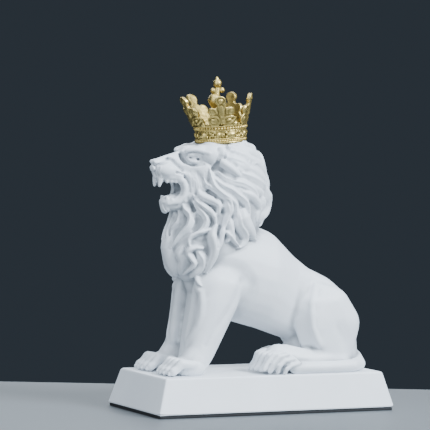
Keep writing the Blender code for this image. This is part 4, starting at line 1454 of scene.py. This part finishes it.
def gold_paint(settings):
    """Pale antique gold, rubbed bright on top, with a dark wash in the recesses and painted shade on the
    inner face.
    """
    nodes = Nodes("Gold paint")
    # The recess value carries the dark wash in the recesses and the painted shade on the inner face
    hollow = nodes.spread(nodes.attribute("recess"), 0.42, 0.80)
    patch = nodes.spread(nodes.noise(420.0), 0.40, 0.72, 0.0, 0.35)
    share = nodes.arithmetic("ADD", hollow, patch)
    worn_and_shaded = nodes.mix(share, tuple(settings.colour), tuple(settings.wash_and_shade_colour))
    nodes.link(worn_and_shaded, nodes.shader.inputs["Base Color"])
    nodes.shader.inputs["Metallic"].default_value = 1.0
    level = settings.roughness
    gloss = nodes.spread(share, 0.0, 1.0, level - 0.08, level + 0.25)
    nodes.link(gloss, nodes.shader.inputs["Roughness"])
    nodes.bump(nodes.noise(1500.0, 4.0), 0.00010, 0.6)
    return nodes.material


def pad_foam(settings):
    """Black closed-cell pad."""
    nodes = Nodes("Pad foam")
    speck = nodes.spread(nodes.noise(2600.0, 3.0), 0.45, 0.75)
    colour = nodes.mix(speck, tuple(settings.colour), scaled(settings.colour, 2.4))
    nodes.link(colour, nodes.shader.inputs["Base Color"])
    gloss = nodes.spread(nodes.noise(500.0), 0.3, 0.7, 0.78, 0.92)
    nodes.link(gloss, nodes.shader.inputs["Roughness"])
    nodes.bump(nodes.noise(3200.0, 2.0), 0.0002, 0.7)
    return nodes.material


def plain_floor(settings):
    """A quiet surface with a little unevenness."""
    nodes = Nodes("Floor")
    patch = nodes.spread(nodes.noise(3.0, 3.0), 0.3, 0.7)
    shade = nodes.mix(patch, scaled(settings.floor_colour, 0.97), tuple(settings.floor_colour))
    nodes.link(shade, nodes.shader.inputs["Base Color"])
    nodes.shader.inputs["Roughness"].default_value = 0.55
    return nodes.material


# The pieces


def shown(name, mesh, stuff, crease=None):
    """An object at the origin that holds a finished mesh, with its material, and maybe creases."""
    mesh.name = name
    mesh.materials.clear()
    mesh.materials.append(stuff)
    mesh.shade_smooth()
    if crease is not None:
        mesh.set_sharp_from_angle(angle=crease)
    obj = bpy.data.objects.new(name, mesh)
    bpy.context.scene.collection.objects.link(obj)
    return obj


def kept(obj, slot, *nodes):
    """A finished piece rides on the sculpture and takes the place of its solids."""
    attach(obj, "root")
    if nodes:
        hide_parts(*nodes)


def bead_tree():
    """Beads round a ring, as a node tree with named inputs for its sizes."""
    tree = bpy.data.node_groups.new("Ring of beads", "GeometryNodeTree")
    face = tree.interface
    face.new_socket("Geometry", in_out="OUTPUT", socket_type="NodeSocketGeometry")
    for name, kind in (
        ("Ring radius", "NodeSocketFloat"),
        ("Beads", "NodeSocketInt"),
        ("Bead radius", "NodeSocketFloat"),
        ("Bead stretch", "NodeSocketFloat"),
        ("Material", "NodeSocketMaterial"),
    ):
        face.new_socket(name, in_out="INPUT", socket_type=kind)
    add = tree.nodes.new
    given = add("NodeGroupInput").outputs
    ring = add("GeometryNodeMeshCircle")
    bead = add("GeometryNodeMeshIcoSphere")
    bead.inputs["Subdivisions"].default_value = 3
    stretch = add("ShaderNodeCombineXYZ")
    stretch.inputs["X"].default_value = 1.0
    stretch.inputs["Y"].default_value = 1.0
    place = add("GeometryNodeInstanceOnPoints")
    real = add("GeometryNodeRealizeInstances")
    smooth = add("GeometryNodeSetShadeSmooth")
    finish = add("GeometryNodeSetMaterial")
    result = add("NodeGroupOutput")
    link = tree.links.new
    link(given["Beads"], ring.inputs["Vertices"])
    link(given["Ring radius"], ring.inputs["Radius"])
    link(given["Bead radius"], bead.inputs["Radius"])
    link(given["Bead stretch"], stretch.inputs["Z"])
    link(ring.outputs["Mesh"], place.inputs["Points"])
    link(bead.outputs["Mesh"], place.inputs["Instance"])
    link(stretch.outputs["Vector"], place.inputs["Scale"])
    link(place.outputs["Instances"], real.inputs["Geometry"])
    link(real.outputs["Geometry"], smooth.inputs["Geometry"])
    link(smooth.outputs["Geometry"], finish.inputs["Geometry"])
    link(given["Material"], finish.inputs["Material"])
    link(finish.outputs["Geometry"], result.inputs["Geometry"])
    return tree


def ring_of_beads(tree, values):
    """The plain mesh that the tree gives for these values."""
    host = bpy.data.objects.new("beads", bpy.data.meshes.new("beads"))
    bpy.context.scene.collection.objects.link(host)
    modifier = host.modifiers.new("beads", "NODES")
    modifier.node_group = tree
    for item in tree.interface.items_tree:
        if item.item_type == "SOCKET" and item.in_out == "INPUT":
            modifier[item.identifier] = values[item.name]
    graph = bpy.context.evaluated_depsgraph_get()
    mesh = bpy.data.meshes.new_from_object(host.evaluated_get(graph))
    bpy.data.objects.remove(host)
    return mesh


class CROWNED_LION_OT_casting(bpy.types.Operator):
    """Make the lion and its plinth, one white casting"""

    bl_idname = "crowned_lion.casting"
    bl_label = "Lion and plinth"

    def execute(self, context):
        settings = context.scene.lion_settings
        lion = lion_mesh()
        cheek_hair(lion)
        face_lines(lion)
        lion = thinned(combined(lion, seat_cutter(), "DIFFERENCE"), LION_TRIANGLES)
        mesh = combined(plinth_mesh(), lion, "UNION")
        # These hollow values drive painted shade in the resin's colour: fine ones in the carving, broad
        # ones in the wide dips of the body
        recess(mesh, "recess", *FINE_RECESS, PLINTH_TOP + 0.1)
        recess(mesh, "broad_recess", *BROAD_RECESS, PLINTH_TOP + 0.1)
        mesh.transform(Matrix.Scale(MILLIMETRE, 4))
        casting = shown("lion_and_plinth", mesh, white_resin(settings), CASTING_CREASE)
        plinth_top = (PLINTH_TOP + 0.05) * MILLIMETRE
        carved = [face.center.z > plinth_top for face in mesh.polygons]
        mesh.polygons.foreach_set("use_smooth", carved)
        kept(casting, "white_resin", "lion_with_plinth")
        return {"FINISHED"}


class CROWNED_LION_OT_crown(bpy.types.Operator):
    """Make the crown with its fleurons, gems, orb and rings of beads"""

    bl_idname = "crowned_lion.crown"
    bl_label = "Crown"

    def execute(self, context):
        settings = context.scene.crown_settings
        gold = gold_paint(settings)
        mesh = fine_crown()
        recess(mesh, "recess", *CROWN_RECESS)
        # Painted shade on the crown's inner face
        shaded_inside(mesh, INSIDE_SHADE)
        mesh.transform(Matrix.Scale(MILLIMETRE, 4))
        crown = shown("gold_crown", mesh, gold)
        kept(crown, "gold_paint", "crown")
        tree = bead_tree()
        beads = bmesh.new()
        for level, radius, count, size, stretch in (
            (1.9, 19.1, settings.foot_beads, 1.0, 1.0),
            (11.2, 19.8, settings.rim_beads, 1.1, 1.25),
        ):
            values = {
                "Ring radius": radius * MILLIMETRE,
                "Beads": count,
                "Bead radius": settings.bead_size * size,
                "Bead stretch": stretch,
                "Material": gold,
            }
            ring = ring_of_beads(tree, values)
            ring.transform(Matrix.Translation((0, 0, level * MILLIMETRE)))
            add_mesh(beads, ring)
        mesh = mesh_of(beads)
        scale = Matrix.Scale(MILLIMETRE, 4)
        mesh.transform(scale @ crown_place() @ scale.inverted())
        recess(mesh, "recess", *BEAD_RECESS)
        kept(shown("crown_beads", mesh, gold), "gold_paint")
        return {"FINISHED"}


class CROWNED_LION_OT_pad(bpy.types.Operator):
    """Make the dark pad that the plinth stands on"""

    bl_idname = "crowned_lion.pad"
    bl_label = "Pad"

    def execute(self, context):
        settings = context.scene.pad_settings
        bm = bmesh.new()
        add_mesh(bm, pad_mesh())
        round_edges(bm, settings.edge / MILLIMETRE, 3)
        mesh = mesh_of(bm)
        mesh.transform(Matrix.Scale(MILLIMETRE, 4))
        pad = shown("foam_pad", mesh, pad_foam(settings), PAD_CREASE)
        kept(pad, "black_pad", "base_pad")
        return {"FINISHED"}


def camera_axes(settings):
    """The camera's right, up and backward directions."""
    turn, rise, roll = settings.azimuth, settings.elevation, settings.roll
    back = Vector((
        math.sin(turn) * math.cos(rise),
        -math.cos(turn) * math.cos(rise),
        math.sin(rise),
    ))
    right = Vector((math.cos(turn), math.sin(turn), 0))
    up = back.cross(right)
    leaning = right * math.cos(roll) + up * math.sin(roll)
    return leaning, back.cross(leaning), back


def soft_lamp(name, place, size, power):
    """A square lamp turned to the middle of the sculpture."""
    data = bpy.data.lights.new(name, "AREA")
    data.shape = "SQUARE"
    data.size = size
    data.energy = power
    data.color = LAMP_COLOUR
    lamp = bpy.data.objects.new(name, data)
    lamp.location = place
    lamp.rotation_euler = (Vector(place) - Vector(LAMP_AIM)).to_track_quat("Z", "Y").to_euler()
    bpy.context.scene.collection.objects.link(lamp)


class CROWNED_LION_OT_stage(bpy.types.Operator):
    """Set up the plain floor, dark background, soft lights and camera"""

    bl_idname = "crowned_lion.stage"
    bl_label = "Stage"

    def execute(self, context):
        settings = context.scene.stage_settings
        scene = context.scene
        bm = bmesh.new()
        turn = Matrix.Rotation(settings.azimuth, 4, "Z")
        middle = Matrix.Translation((0, settings.floor_behind - FLOOR_SIZE, 0))
        bmesh.ops.create_grid(
            bm, x_segments=8, y_segments=8, size=FLOOR_SIZE, matrix=turn @ middle
        )
        floor = shown("floor", mesh_of(bm), plain_floor(settings))
        right, up, back = camera_axes(settings)
        data = bpy.data.cameras.new("Camera")
        data.sensor_width = FILM_WIDTH
        data.lens = settings.lens
        camera = bpy.data.objects.new("Camera", data)
        turn = Matrix((right, up, back)).transposed()
        camera.matrix_world = Matrix.LocRotScale(
            Vector(settings.aim) + back * settings.distance, turn.to_quaternion(), None
        )
        scene.collection.objects.link(camera)
        scene.camera = camera
        soft_lamp("Key", (1.0, -1.6, 1.4), 0.8, settings.key_light)
        soft_lamp("Fill", (-1.9, -1.3, 0.8), 1.6, settings.fill_light)
        soft_lamp("Top", (-0.2, -0.2, 1.9), 2.2, settings.top_light)
        soft_lamp("Back", (0.6, 2.0, 1.2), 1.6, settings.back_light)
        world = bpy.data.worlds.new("Background")
        scene.world = world
        world.use_nodes = True
        world.node_tree.nodes["Background"].inputs["Color"].default_value = settings.background_colour
        return {"FINISHED"}


class CROWNED_LION_PT_panel(bpy.types.Panel):
    """The sidebar panel that lists the steps and their settings"""

    bl_idname = "CROWNED_LION_PT_panel"
    bl_label = "Crowned lion"
    bl_space_type = "VIEW_3D"
    bl_region_type = "UI"
    bl_category = "Crowned lion"

    def draw(self, context):
        for operator, settings in STEPS:
            box = self.layout.box()
            box.operator(operator.bl_idname)
            group = getattr(context.scene, settings)
            for name in group.bl_rna.properties.keys():
                if name not in {"rna_type", "name"}:
                    box.prop(group, name)


STEPS = (
    (CROWNED_LION_OT_casting, "lion_settings"),
    (CROWNED_LION_OT_crown, "crown_settings"),
    (CROWNED_LION_OT_pad, "pad_settings"),
    (CROWNED_LION_OT_stage, "stage_settings"),
)
GROUPS = {
    "lion_settings": LionSettings,
    "crown_settings": CrownSettings,
    "pad_settings": PadSettings,
    "stage_settings": StageSettings,
}


def register():
    for name, group in GROUPS.items():
        bpy.utils.register_class(group)
        setattr(bpy.types.Scene, name, bpy.props.PointerProperty(type=group))
    for operator, _ in STEPS:
        bpy.utils.register_class(operator)
    bpy.utils.register_class(CROWNED_LION_PT_panel)


def unregister():
    bpy.utils.unregister_class(CROWNED_LION_PT_panel)
    for operator, _ in reversed(STEPS):
        bpy.utils.unregister_class(operator)
    for name, group in GROUPS.items():
        delattr(bpy.types.Scene, name)
        bpy.utils.unregister_class(group)


def main():
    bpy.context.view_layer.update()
    register()
    bpy.ops.crowned_lion.stage()
    bpy.ops.crowned_lion.casting()
    bpy.ops.crowned_lion.crown()
    bpy.ops.crowned_lion.pad()


if __name__ == "__main__":
    main()
